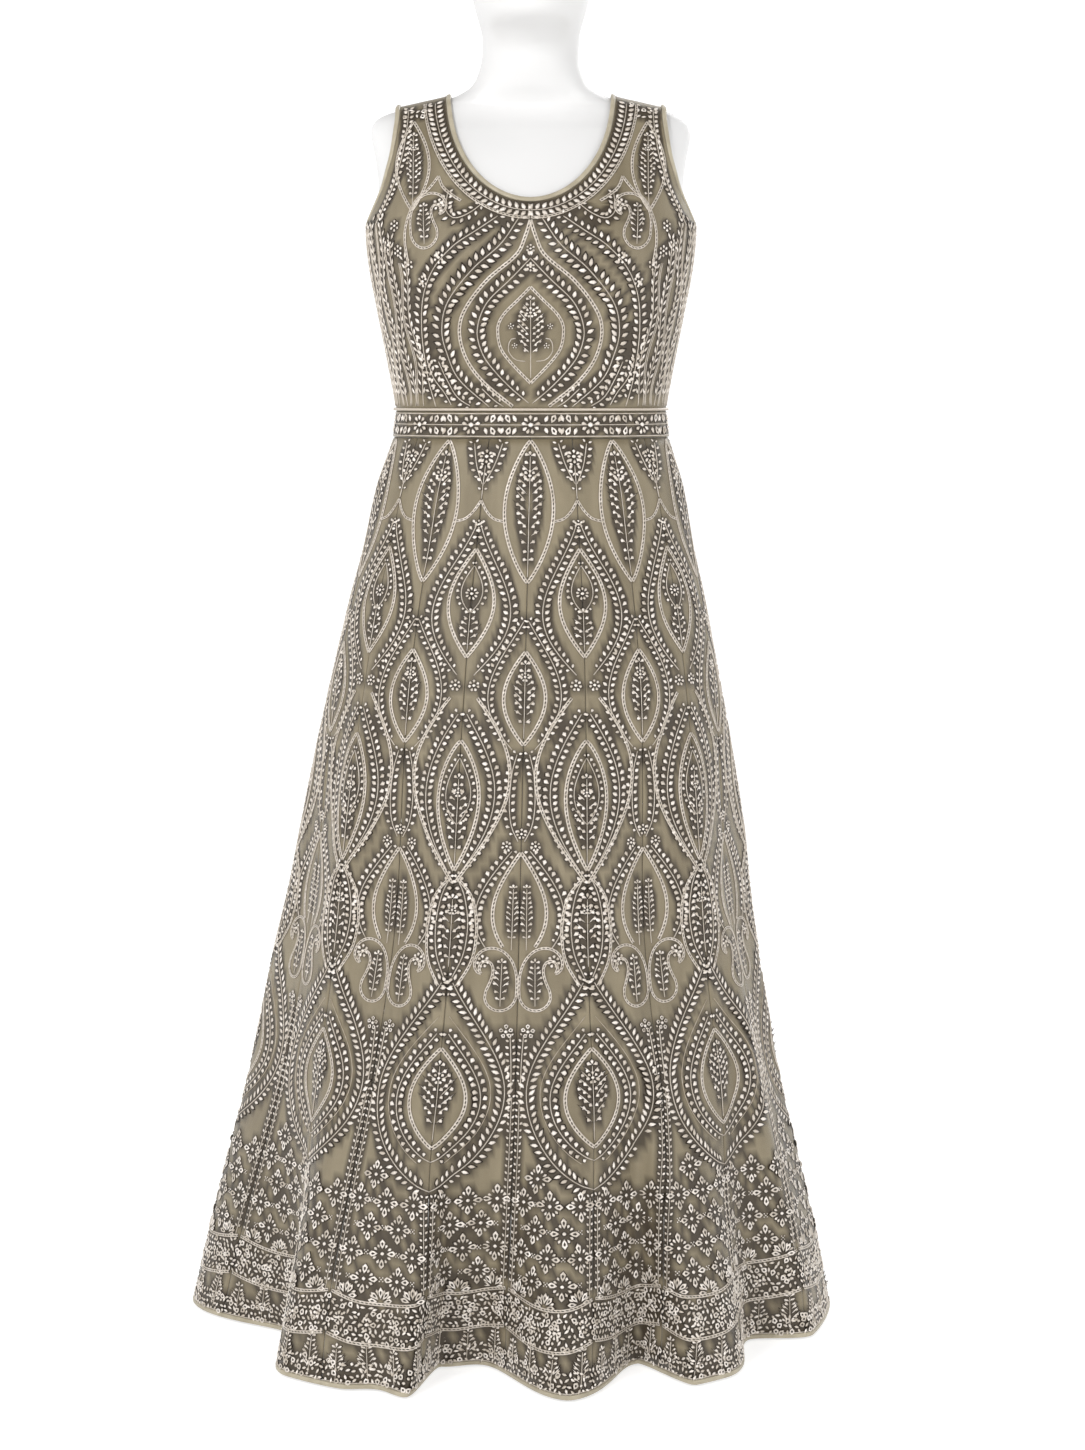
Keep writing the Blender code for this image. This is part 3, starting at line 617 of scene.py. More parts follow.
class Nodes:
    """A short way to write a material's nodes."""

    def __init__(self, name: str) -> None:
        """Starts a material with a plain shader."""
        self.material = bpy.data.materials.new(name)
        self.material.use_nodes = True
        self.tree = self.material.node_tree
        self.shader = self.tree.nodes["Principled BSDF"]

    def add(self, kind: str, inputs: dict | None = None, **settings: object) -> bpy.types.Node:
        """Adds a node, sets its properties, and sets or links its inputs."""
        node = self.tree.nodes.new(kind)
        for key, value in settings.items():
            setattr(node, key, value)
        for key, value in (inputs or {}).items():
            self.feed(node.inputs[key], value)
        return node

    def feed(self, socket: Socket, value: object) -> None:
        """Links a socket to an output, or sets its value."""
        if isinstance(value, Socket):
            self.tree.links.new(value, socket)
        else:
            socket.default_value = value

    def math(self, operation: str, a: object, b: object = 0.5, clamp: bool = False) -> Socket:
        """The result of one sum."""
        node = self.add("ShaderNodeMath", {0: a, 1: b}, operation=operation, use_clamp=clamp)
        return node.outputs[0]

    def blend(self, share: object, a: object, b: object) -> Socket:
        """A colour the share of the way from a to b."""
        node = self.add("ShaderNodeMix", data_type="RGBA")
        self.feed(node.inputs["Factor"], share)
        self.feed(node.inputs["A"], a)
        self.feed(node.inputs["B"], b)
        return node.outputs["Result"]

    def span(self, value: object, low: float, high: float, to_low: float, to_high: float) -> Socket:
        """A value carried from one range to another, smoothly."""
        node = self.add(
            "ShaderNodeMapRange",
            {"Value": value, "From Min": low, "From Max": high, "To Min": to_low, "To Max": to_high},
            interpolation_type="SMOOTHSTEP",
        )
        return node.outputs["Result"]

    def finish(self, **values: object) -> Material:
        """Sets the shader's sockets, by name with spaces as underscores, and returns the material."""
        for key, value in values.items():
            self.feed(self.shader.inputs[key.replace("_", " ")], value)
        return self.material


@dataclass(frozen=True)
class NetOverSatin:
    """Olive satin seen through fine net, with painted light and shade in long upright streaks, and painted
    shade on the cloth between crowded stitches.
    """

    name: str = "olive_net_over_satin"
    # Painted light and shade: the lit and the shaded olive of one satin.
    lit: Numbers = (0.214, 0.174, 0.105, 1)
    shaded: Numbers = (0.118, 0.09, 0.047, 1)
    # Painted shade: the dark colour of the cloth in the gaps between crowded stitches, partly their brown
    # thread.
    gap_shade_colour: Numbers = (0.033, 0.021, 0.009, 1)
    net_pitch: float = 1.3 * MM
    roughness: float = 0.5

    def make(self) -> Material:
        """Builds the material on the cloth's own UV map, which is in metres."""
        n = Nodes(self.name)
        uv = n.add("ShaderNodeUVMap", uv_map="cloth").outputs["UV"]
        split = n.add("ShaderNodeSeparateXYZ", {"Vector": uv})
        threads = []
        for sign in (1, -1):
            slant = n.math("ADD", split.outputs["X"], n.math("MULTIPLY", split.outputs["Y"], 0.6 * sign))
            wave = n.math("SINE", n.math("MULTIPLY", slant, math.tau / self.net_pitch))
            threads.append(n.math("POWER", n.math("ABSOLUTE", wave), 6.0))
        net = n.math("MAXIMUM", threads[0], threads[1])
        grain = n.add("ShaderNodeTexNoise", {"Vector": uv, "Scale": 38.0, "Detail": 5.0, "Roughness": 0.6})
        # Painted light and shade: long upright streaks that blend the shaded and the lit olive, for the light
        # and shade of the skirt's soft folds.
        streak_space = n.add("ShaderNodeVectorMath", {0: uv, 1: (1.0, 0.14, 1.0)},
                     operation="MULTIPLY").outputs["Vector"]
        light_streak_noise = n.add("ShaderNodeTexNoise", {"Vector": streak_space, "Scale": 30.0, "Detail": 3.0})
        satin = n.span(light_streak_noise.outputs["Fac"], 0.3, 0.7, 0.25, 1.0)
        colour = n.blend(satin, self.shaded, self.lit)
        colour = n.blend(n.math("MULTIPLY", net, 0.22), colour, (0.42, 0.37, 0.27, 1))
        colour = n.blend(n.math("MULTIPLY", n.span(grain.outputs["Fac"], 0.35, 0.75, 0.0, 1.0), 0.18), colour,
                         self.shaded)
        # Painted shade: the cloth darkens where stitches crowd, for the shade in the gaps between them.
        dense = n.add("ShaderNodeAttribute", attribute_name="stitch_crowd_shade").outputs["Fac"]
        colour = n.blend(n.math("MULTIPLY", dense, 0.95, clamp=True), colour, self.gap_shade_colour)
        height = n.math("ADD", n.math("MULTIPLY", net, 0.7), n.math("MULTIPLY", grain.outputs["Fac"], 0.5))
        bump = n.add("ShaderNodeBump", {"Height": height, "Strength": 0.35, "Distance": 0.25 * MM})
        return n.finish(
            Base_Color=colour,
            Roughness=self.roughness,
            Sheen_Weight=0.25,
            Sheen_Roughness=0.4,
            Normal=bump.outputs["Normal"],
        )


@dataclass(frozen=True)
class SilverThread:
    """Silver-rose metallic thread, darkened at the feet of its stitches, in their hollows and between a
    cord's threads by painted shade that also stands for dark outline thread.
    """

    name: str = "silver_rose_thread"
    bright: Numbers = (0.93, 0.865, 0.8, 1)
    dull: Numbers = (0.31, 0.25, 0.172, 1)
    # Painted shade: the near-black colour at the feet of the stitches, in loop hollows and in cord grooves,
    # partly dark outline thread.
    foot: Numbers = (0.03, 0.019, 0.01, 1)
    metal: float = 0.12
    roughness: float = 0.34

    def make(self) -> Material:
        """Builds the material on the stitches' height attribute, which sets their painted shade, and on their
        glint attribute.
        """
        n = Nodes(self.name)
        tone = n.add("ShaderNodeAttribute", attribute_name="tone").outputs["Fac"]
        glint = n.add("ShaderNodeAttribute", attribute_name="glint").outputs["Fac"]
        where = n.add("ShaderNodeTexCoord").outputs["Object"]
        twist = n.add("ShaderNodeTexNoise", {"Vector": where, "Scale": 1500.0, "Detail": 2.0})
        top = n.blend(glint, self.dull, self.bright)
        top = n.blend(n.math("MULTIPLY", n.span(twist.outputs["Fac"], 0.4, 0.65, 0.0, 1.0), 0.3), top,
                      self.dull)
        # Painted shade: low on each stitch the colour falls to the dark foot colour.
        colour = n.blend(n.span(tone, 0.26, 0.42, 0.0, 1.0), self.foot, top)
        bump = n.add("ShaderNodeBump",
                     {"Height": twist.outputs["Fac"], "Strength": 0.4, "Distance": 0.3 * MM})
        rough = n.span(glint, 0.0, 1.0, self.roughness + 0.14, self.roughness - 0.06)
        return n.finish(Base_Color=colour, Metallic=self.metal, Roughness=rough,
                        Normal=bump.outputs["Normal"])


@dataclass(frozen=True)
class BindingSatin:
    """Pale khaki satin, cut on the bias and rolled into a binding."""

    name: str = "khaki_binding_satin"
    colour: Numbers = (0.42, 0.37, 0.27, 1)
    worn: Numbers = (0.28, 0.24, 0.165, 1)
    roughness: float = 0.45

    def make(self) -> Material:
        """Builds the material on Object coordinates."""
        n = Nodes(self.name)
        where = n.add("ShaderNodeTexCoord").outputs["Object"]
        weave = n.add(
            "ShaderNodeTexWave",
            {"Vector": where, "Scale": 420.0, "Distortion": 1.5, "Detail": 1.0, "Detail Scale": 1.0},
            bands_direction="DIAGONAL",
        )
        patch = n.add("ShaderNodeTexNoise", {"Vector": where, "Scale": 60.0, "Detail": 3.0})
        colour = n.blend(n.span(patch.outputs["Fac"], 0.3, 0.7, 0.0, 0.6), self.colour, self.worn)
        bump = n.add("ShaderNodeBump",
                     {"Height": weave.outputs["Fac"], "Strength": 0.35, "Distance": 0.2 * MM})
        return n.finish(
            Base_Color=colour, Roughness=self.roughness, Sheen_Weight=0.2, Normal=bump.outputs["Normal"]
        )


@dataclass(frozen=True)
class SmoothShell:
    """The form's white shell or the stand's white paint: even, with a faint skin of its own."""

    name: str
    colour: Numbers = (0.7, 0.695, 0.69, 1)
    roughness: float = 0.42
    coat: float = 0.15
    skin_scale: float = 260.0

    def make(self) -> Material:
        """Builds the material on Object coordinates."""
        n = Nodes(self.name)
        where = n.add("ShaderNodeTexCoord").outputs["Object"]
        skin = n.add("ShaderNodeTexNoise", {"Vector": where, "Scale": self.skin_scale, "Detail": 3.0})
        cloud = n.add("ShaderNodeTexNoise", {"Vector": where, "Scale": 6.0, "Detail": 2.0})
        soft = tuple(c * 0.965 for c in self.colour[:3]) + (1,)
        colour = n.blend(n.span(cloud.outputs["Fac"], 0.35, 0.65, 0.0, 1.0), self.colour, soft)
        bump = n.add("ShaderNodeBump",
                     {"Height": skin.outputs["Fac"], "Strength": 0.08, "Distance": 0.2 * MM})
        rough = n.span(skin.outputs["Fac"], 0.3, 0.7, self.roughness - 0.04, self.roughness + 0.05)
        return n.finish(
            Base_Color=colour, Roughness=rough, Coat_Weight=self.coat, Coat_Roughness=0.25,
            Normal=bump.outputs["Normal"],
        )


@dataclass(frozen=True)
class StudioFloor:
    """The pale, matt sweep that the stand rests on."""

    name: str = "pale_floor"
    colour: Numbers = (0.55, 0.55, 0.55, 1)
    glow: float = 0.68

    def make(self) -> Material:
        """Builds the material on Object coordinates."""
        n = Nodes(self.name)
        where = n.add("ShaderNodeTexCoord").outputs["Object"]
        mottle = n.add("ShaderNodeTexNoise", {"Vector": where, "Scale": 3.0, "Detail": 2.0})
        colour = n.blend(n.span(mottle.outputs["Fac"], 0.4, 0.6, 0.0, 0.5), self.colour,
                         (0.54, 0.54, 0.54, 1))
        return n.finish(
            Base_Color=colour, Roughness=0.8, Emission_Color=(1, 1, 1, 1), Emission_Strength=self.glow
        )


@dataclass
class Wardrobe:
    """Every finish, made once."""

    cloth: Material = field(default_factory=lambda: NetOverSatin().make())
    thread: Material = field(default_factory=lambda: SilverThread().make())
    binding: Material = field(default_factory=lambda: BindingSatin().make())
    form: Material = field(default_factory=lambda: SmoothShell("form_white").make())
    stand: Material = field(
        default_factory=lambda: SmoothShell("stand_white", (0.75, 0.75, 0.75, 1), 0.35, 0.3, 420.0).make()
    )


@dataclass
class Skirt:
    """The twenty flared panels and the rolled hem binding."""

    chart: Chart
    wardrobe: Wardrobe
    columns: int = 20
    rows: int = 96
    seam_edge: Numbers = (0.0, 0.012, 0.035)
    seam_dip: Numbers = (1.1 * MM, 0.45 * MM, 0.1 * MM)
    wall: float = 1.3 * MM
    hem_columns: int = 30

    def column_shares(self) -> tuple[Array, Array]:
        """Where a panel's columns of points lie between its seams, and how far each dips inwards."""
        edge, dip = np.array(self.seam_edge), np.array(self.seam_dip)
        middle = np.linspace(edge[-1], 1 - edge[-1], self.columns - 2 * (len(edge) - 1) + 1)[1:-1]
        shares = np.concatenate((edge, middle, (1 - edge)[::-1]))
        dips = np.concatenate((dip, np.zeros(len(middle)), dip[::-1]))
        return shares, dips

    def panel(self, number: int) -> Piece:
        """One flared panel, from its first seam to its second."""
        shares, dips = self.column_shares()
        top, bottom = SEAM_GAP / WAIST_BOTTOM, 1 - HEM_TOP / WAIST_BOTTOM
        down = top + (bottom - top) * np.linspace(0, 1, self.rows + 1)
        across = number + shares
        at = np.stack(np.meshgrid(across, down), axis=-1)
        shape = at.shape[:2]
        points, right, _, normal = self.chart.frame(at.reshape(-1, 2))
        dip = np.tile(dips, shape[0])[:, None]
        gap = np.zeros(shape)
        gap[:, 0], gap[:, -1] = SEAM_GAP / 2, -SEAM_GAP / 2
        points = (points - normal * dip + right * gap.reshape(-1, 1)).reshape(*shape, 3)
        lengths = self.chart.scale(at.reshape(-1, 2))[:, 0].reshape(shape)
        uv = np.stack(((shares - 0.5) * lengths + number * 0.37,
                       np.tile(-down[:, None] * SKIRT_DROP, (1, shape[1]))), -1)
        mesh = draped_grid(f"skirt_panel_{number + 1:02d}_cloth", points, uv, normal.reshape(*shape, 3))
        piece = walled(new_piece(mesh.name, mesh, self.wardrobe.cloth), self.wall)
        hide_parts(f"skirt_panel_{number + 1:02d}")
        return piece

    def hem_binding(self, number: int) -> Piece:
        """The double roll along the hem of two panels."""
        columns = np.linspace(2 * number, 2 * number + 2, self.hem_columns * 2 + 1)
        points, normals = SkirtForm.along(HEM_LIFT, columns)
        onward = unit(np.gradient(points, axis=0))
        points[0] += onward[0] * SEAM_GAP / 2
        points[-1] -= onward[-1] * SEAM_GAP / 2
        half, roll = HEM_BINDING_WALL / 2, HEM_BINDING_HEIGHT / 4
        outline = [(-0.75, 0), (-1, 1), (-1, 3), (-0.75, 4), (0.35, 4), (1, 3), (0.62, 2), (1, 1), (0.35, 0)]
        section = np.array(outline, float) * (half, roll)
        stations = points[:, None] + normals[:, None] * section[None, :, :1]
        stations = stations + np.array((0, 0, 1.0)) * section[None, :, 1:]
        mesh = tube(f"hem_binding_{number + 1:02d}_roll", stations, sharp_degrees=70)
        piece = new_piece(mesh.name, mesh, self.wardrobe.binding)
        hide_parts(f"hem_binding_{number + 1:02d}")
        return piece

    def make(self) -> None:
        """Builds every panel and length of binding."""
        for number in range(PANELS):
            self.panel(number)
        for number in range(PANELS // 2):
            self.hem_binding(number)


@dataclass
class Bodice:
    """The front, the two backs, their bindings, the waistband and the cord over it."""

    wardrobe: Wardrobe
    fineness: int = 4
    band_rows: int = 8
    band_columns: int = 72
    strip_sides: int = 10
    cord_sides: int = 10
    cord_turns: int = 70

    @staticmethod
    def line(column: Array, neck_z: float) -> Array:
        """The height of the line from the neck's lowest point to the underarm."""
        return neck_z + (UNDERARM_Z - neck_z) * ease(np.asarray(column) / BODICE_COLUMNS)

    @classmethod
    def strap(cls, column: Array, up: Array, neck_z: float) -> tuple[Array, Array]:
        """Distance from the middle and height on the upper bodice, between neck and armhole."""
        column, up = np.broadcast_arrays(np.asarray(column, float), np.asarray(up, float))
        shape = column.shape
        column, up = column.ravel(), up.ravel()
        rise = (1 - np.cos(np.pi * up)) / 2
        low = cls.line(column, neck_z)
        neck = NECK_HALF_WIDTH * np.sqrt(np.maximum(0, 1 - (1 - rise) ** 2))
        armhole = smooth_table(ARMHOLE, rise)[:, 0]
        level = BodyForm.section(low)[:, 0] * np.sin(np.pi / 2 * column / BODICE_COLUMNS)
        start = np.minimum(1.0, level / ARMHOLE[0, 1])
        share = start + (column / BODICE_COLUMNS - start) * up
        x = neck + (armhole - neck) * share
        z = low + (BodyForm.shoulder(x) - low) * rise
        return x.reshape(shape), z.reshape(shape)

    def half(self, facing: Facing, neck_z: float) -> Array:
        """The form's points under half a bodice, rows from the waist, columns from the middle."""
        columns = np.linspace(0, BODICE_COLUMNS, BODICE_COLUMNS * self.fineness + 1)
        rows = []
        bottom = WAIST_TOP + SEAM_GAP
        count = 9 * self.fineness
        for r in range(count):
            z = bottom + (self.line(columns, neck_z) - bottom) * r / count
            x = BodyForm.section(z)[:, 0] * np.sin(np.pi / 2 * columns / BODICE_COLUMNS)
            rows.append(BodyForm.point(x, z, facing))
        for r in range(count + 1):
            x, z = self.strap(columns, np.full(len(columns), r / count), neck_z)
            rows.append(BodyForm.point(x, z, facing))
        points = np.stack(rows)
        gap = SEAM_GAP / 2
        side = BodyForm.section(points[:, -1, 2])[:, 3]
        on_side = np.abs(points[:, -1, 1] - side) < gap
        points[:, -1, 1] += np.where(on_side, facing.value * gap, 0)
        points[-1, :, 1] += facing.value * gap
        return points

    def shell(self, name: str, points: Array, nodes: Sequence[str]) -> Piece:
        """A bodice piece of cloth on the form's points."""
        normals = BodyForm.normal(points)
        outer = points + normals * (FORM_CLEARANCE + BODICE_WALL)
        arcs = np.concatenate((np.zeros((len(outer), 1)),
                               np.cumsum(np.linalg.norm(np.diff(outer, axis=1), axis=2), axis=1)), axis=1)
        uv = np.stack((arcs, outer[:, :, 2]), axis=-1)
        mesh = draped_grid(name, outer, uv, normals)
        piece = walled(new_piece(name, mesh, self.wardrobe.cloth), BODICE_WALL)
        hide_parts(*nodes)
        return piece

    def front(self) -> Piece:
        """The front, its halves joined at the middle up to the neck."""
        half = self.half(Facing.FRONT, FRONT_NECK_Z)
        mirrored = half[:, ::-1] * (-1, 1, 1)
        made = bmesh.new()
        name = "bodice_front_cloth"
        for points in (half, mirrored):
            normals = BodyForm.normal(points)
            outer = points + normals * (FORM_CLEARANCE + BODICE_WALL)
            uv = np.stack((outer[..., 0] * 1.1, outer[..., 2]), axis=-1)
            mesh = draped_grid("half", outer, uv, normals)
            made.from_mesh(mesh)
            bpy.data.meshes.remove(mesh)
        middle = [v for v in made.verts if abs(v.co.x) < 1e-6]
        bmesh.ops.remove_doubles(made, verts=middle, dist=1e-5)
        mesh = bpy.data.meshes.new(name)
        made.to_mesh(mesh)
        made.free()
        mesh.shade_smooth()
        piece = walled(new_piece(name, mesh, self.wardrobe.cloth), BODICE_WALL)
        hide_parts("bodice_front")
        return piece

    def backs(self) -> None:
        """The two back pieces, which meet at the centre back seam."""
        half = self.half(Facing.BACK, BACK_NECK_Z)
        half[:, 0, 0] = np.where(np.abs(half[:, 0, 0]) < SEAM_GAP / 2, SEAM_GAP / 2, half[:, 0, 0])
        self.shell("bodice_back_left_cloth", half, ["bodice_back_left"])
        self.shell("bodice_back_right_cloth", half[:, ::-1] * (-1, 1, 1), ["bodice_back_right"])

    def strip(self, name: str, edge: Array, outs: Array, node: str) -> Piece:
        """A rolled binding beside an edge of the cloth.

        Args:
            name: the piece's name.
            edge: points on the form along the edge.
            outs: the way out of the cloth at each.
            node: the solid that it stands for.

        Returns:
            The object.
        """
        normal = BodyForm.normal(edge)
        out = unit(outs - normal * np.sum(outs * normal, axis=1, keepdims=True))
        turns = np.linspace(0, math.tau, self.strip_sides, endpoint=False)
        reach = 0.5 + 0.5 * np.sign(np.cos(turns)) * np.abs(np.cos(turns)) ** 0.7
        height = 0.5 + 0.5 * np.sign(np.sin(turns)) * np.abs(np.sin(turns)) ** 0.7
        stations = []
        for r, h in zip(reach, height):
            place = edge + out * (SEAM_GAP + BINDING_WIDTH * r)
            stations.append(BodyForm.lifted(place, FORM_CLEARANCE + BINDING_WALL * h))
        stations = np.stack(stations, axis=1)
        stations[0, :, 1] = edge[0, 1]
        stations[-1, :, 1] = edge[-1, 1]
        mesh = tube(name, stations, sharp_degrees=75)
        piece = new_piece(name, mesh, self.wardrobe.binding)
        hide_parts(node)
        return piece

    def edge(self, column: int, facing: Facing, neck_z: float) -> Array:
        """Points on the form along the neck (column 0) or the armhole (the last column)."""
        ups = np.linspace(0, 1, 9 * self.fineness + 1)
        x, z = self.strap(np.full(len(ups), float(column)), ups, neck_z)
        points = BodyForm.point(x, z, facing)
        points[-1, 1] += facing.value * SEAM_GAP / 2
        if column:
            points[0, 1] += facing.value * SEAM_GAP / 2
        return points

    def bindings(self) -> None:
        """The strips round the neck and the armholes, in front and behind."""
        for facing, neck_z in ((Facing.FRONT, FRONT_NECK_Z), (Facing.BACK, BACK_NECK_Z)):
            place = facing.name.lower()
            right = self.edge(0, facing, neck_z)
            neck = np.concatenate((right[::-1] * (-1, 1, 1), right[1:]))
            focus = np.array((0, 0, float(BodyForm.shoulder(np.array([NECK_HALF_WIDTH]))[0])))
            out = np.cross(np.gradient(neck, axis=0), BodyForm.normal(neck))
            out *= np.sign(np.sum(out * (focus - neck), axis=1, keepdims=True))
            self.strip(f"neck_binding_{place}_roll", neck, out, f"neck_binding_{place}")
            for side, hand in ((1, "left"), (-1, "right")):
                edge = self.edge(BODICE_COLUMNS, facing, neck_z) * (side, 1, 1)
                focus = np.array(ARM_CENTRE) * (side, 1, 1)
                out = np.cross(np.gradient(edge, axis=0), BodyForm.normal(edge))
                out *= np.sign(np.sum(out * (focus - edge), axis=1, keepdims=True))
                name = f"armhole_binding_{place}_{hand}"
                self.strip(f"{name}_roll", edge, out, name)

    def half_ring(self, z: float, facing: Facing, columns: int) -> Array:
        """The form's points at a level, from one side seam to the other."""
        turns = np.pi * (np.arange(columns + 1) / columns - 0.5)
        points = BodyForm.point(BodyForm.section(z)[0, 0] * np.sin(turns), np.full(columns + 1, z), facing)
        points[(0, -1), 1] += facing.value * SEAM_GAP / 2
        return points

    def waistband(self, facing: Facing) -> Piece:
        """The waistband's front or back."""
        place = facing.name.lower()
        heights = np.linspace(WAIST_BOTTOM, WAIST_TOP, self.band_rows + 1)
        points = np.stack([self.half_ring(z, facing, self.band_columns) for z in heights])
        normals = BodyForm.normal(points)
        outer = points + normals * (FORM_CLEARANCE + WAISTBAND_WALL)
        arcs = np.concatenate((np.zeros((len(outer), 1)),
                               np.cumsum(np.linalg.norm(np.diff(outer, axis=1), axis=2), axis=1)), axis=1)
        mesh = draped_grid(f"waistband_{place}_cloth", outer, np.stack((arcs, outer[..., 2]), -1), normals)
        piece = walled(new_piece(mesh.name, mesh, self.wardrobe.cloth), WAISTBAND_WALL)
        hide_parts(f"waistband_{place}")
        return piece

    def waist_cord(self, facing: Facing) -> Piece:
        """The twisted cord that stands over the waistband."""
        place = facing.name.lower()
        columns = 220
        base = self.half_ring(WAIST_TOP + 2 * PIPING_RADIUS, facing, columns)
        normal = BodyForm.normal(base)
        across = unit(normal * (1, 1, 0))
        centre = base + normal * (FORM_CLEARANCE + BODICE_WALL + SEAM_GAP + PIPING_RADIUS)
        turn = np.linspace(0, math.tau, self.cord_sides, endpoint=False)
        twist = np.linspace(0, math.tau * self.cord_turns, columns + 1)[:, None]
        radius = PIPING_RADIUS * (0.84 + 0.16 * np.abs(np.cos(turn[None] + twist / 2)))
        stations = centre[:, None] + across[:, None] * (radius * np.cos(turn))[..., None]
        stations = stations + np.array((0, 0, 1.0)) * (radius * np.sin(turn))[..., None]
        mesh = tube(f"waist_cord_{place}", stations)
        paint_shade_and_glint(mesh, np.full(len(mesh.vertices), 0.9), np.full(len(mesh.vertices), 0.35))
        piece = new_piece(mesh.name, mesh, self.wardrobe.thread)
        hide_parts(f"waist_piping_{place}")
        return piece

    def make(self) -> None:
        """Builds the bodice and all that is sewn to it."""
        self.front()
        self.backs()
        self.bindings()
        for facing in Facing:
            self.waistband(facing)
            self.waist_cord(facing)


def paint_shade_and_glint(mesh: Mesh, tone: Array, glint: Array) -> None:
    """Stores how high on its stitch each point of the needlework is, which sets its painted shade, and how
    bright its stitch is.
    """
    for name, values in (("tone", tone), ("glint", glint)):
        layer = mesh.attributes.new(name, "FLOAT", "POINT")
        layer.data.foreach_set("value", values.astype(np.float32))


def paint_stitch_crowd_shade(reach: float = 8 * MM) -> None:
    """Stores on each point of the cloth a painted shade for the gaps between crowded stitches: how closely
    stitches crowd round it, from 0 where it is plain.
    """
    stitches = np.concatenate(SEWN)
    tree = KDTree(len(stitches))
    for number, stitch in enumerate(stitches):
        tree.insert(stitch[:3], number)
    tree.balance()
    areas = stitches[:, 3]
    for piece in bpy.context.scene.objects:
        if not piece.name.endswith("_cloth"):
            continue
        close = []
        for vert in piece.data.vertices:
            near = tree.find_range(vert.co, reach)
            close.append(sum(areas[number] * (1 - away / reach) for _, number, away in near))
        layer = piece.data.attributes.new("stitch_crowd_shade", "FLOAT", "POINT")
        # Painted shade, strongest where stitches crowd closest.
        layer.data.foreach_set("value", ease(np.array(close) / (reach**2 * 0.42) - 0.22).astype(np.float32))


class Stitch(Enum):
    """A stitch's half widths a third and two thirds along, and how wide its sunken middle's rim is."""

    LEAF = (0.44, 0.36, 0.0)
    DROP = (0.3, 0.5, 0.0)
    BEAD = (0.43, 0.44, 0.0)
    LOOP = (0.36, 0.5, 0.66)

    def shape(self) -> tuple[Array, Array, Array]:
        """A stitch one long along Y, one wide and one high, its foot at the origin.

        Returns:
            Its corners, its triangles and the tone of each corner.
        """
        low, high, rim = self.value
        made = bmesh.new()
        bmesh.ops.create_cone(made, cap_ends=True, segments=6, radius1=1, radius2=rim, depth=1)
        if rim:
            lid = [face for face in made.faces if min(vert.co.z for vert in face.verts) > 0]
            bmesh.ops.poke(made, faces=lid, offset=-0.75)
        bmesh.ops.triangulate(made, faces=made.faces)
        corners, shade_heights = [], []
        for vert in made.verts:
            reach = math.hypot(vert.co.x, vert.co.y)
            half = high if vert.co.y > 0 else low
            along = 0.5 + 0.5 * vert.co.y * (0.72 if 0.1 < abs(vert.co.y) < 0.9 * reach else 1.0)
            aside = half * vert.co.x / math.sin(math.pi / 3)
            corners.append((aside, along, vert.co.z + 0.5))
            # Painted shade: 0 at the foot, rising with height; a loop's sunken middle stays dark.
            shade_heights.append(0.0 if reach < 0.1 and rim else (vert.co.z + 0.5) * (0.62 if rim else 1.0))
        faces = [[vert.index for vert in face.verts] for face in made.faces]
        made.free()
        return np.array(corners), np.array(faces), np.array(shade_heights)


LEAF, DROP, BEAD, LOOP = Stitch


@dataclass(frozen=True)
class Cord:
    """A laid thread's section: how far aside and how high each of its points is, and the painted shade on
    each, dark at its edges and in the groove between two threads.
    """

    aside: Numbers
    height: Numbers
    tone: Numbers
    step: float
    beaded: int = -1

    @classmethod
    def single(cls, width: float = 1.5 * MM) -> Cord:
        """One thread, triangular in section."""
        return cls((-width / 2, 0.0, width / 2), (0.0, width * 0.7, 0.0), (0.1, 1.0, 0.1), 4.5 * MM)

    @classmethod
    def double(cls, width: float = 5.0 * MM) -> Cord:
        """Two threads with a row of small beads between them."""
        half = width / 2
        return cls(
            (-half, -half * 0.66, 0.0, half * 0.66, half),
            (0.0, 1.2 * MM, 0.1 * MM, 1.2 * MM, 0.0),
            (0.0, 0.74, 0.0, 0.74, 0.0),
            2.3 * MM,
            2,
        )


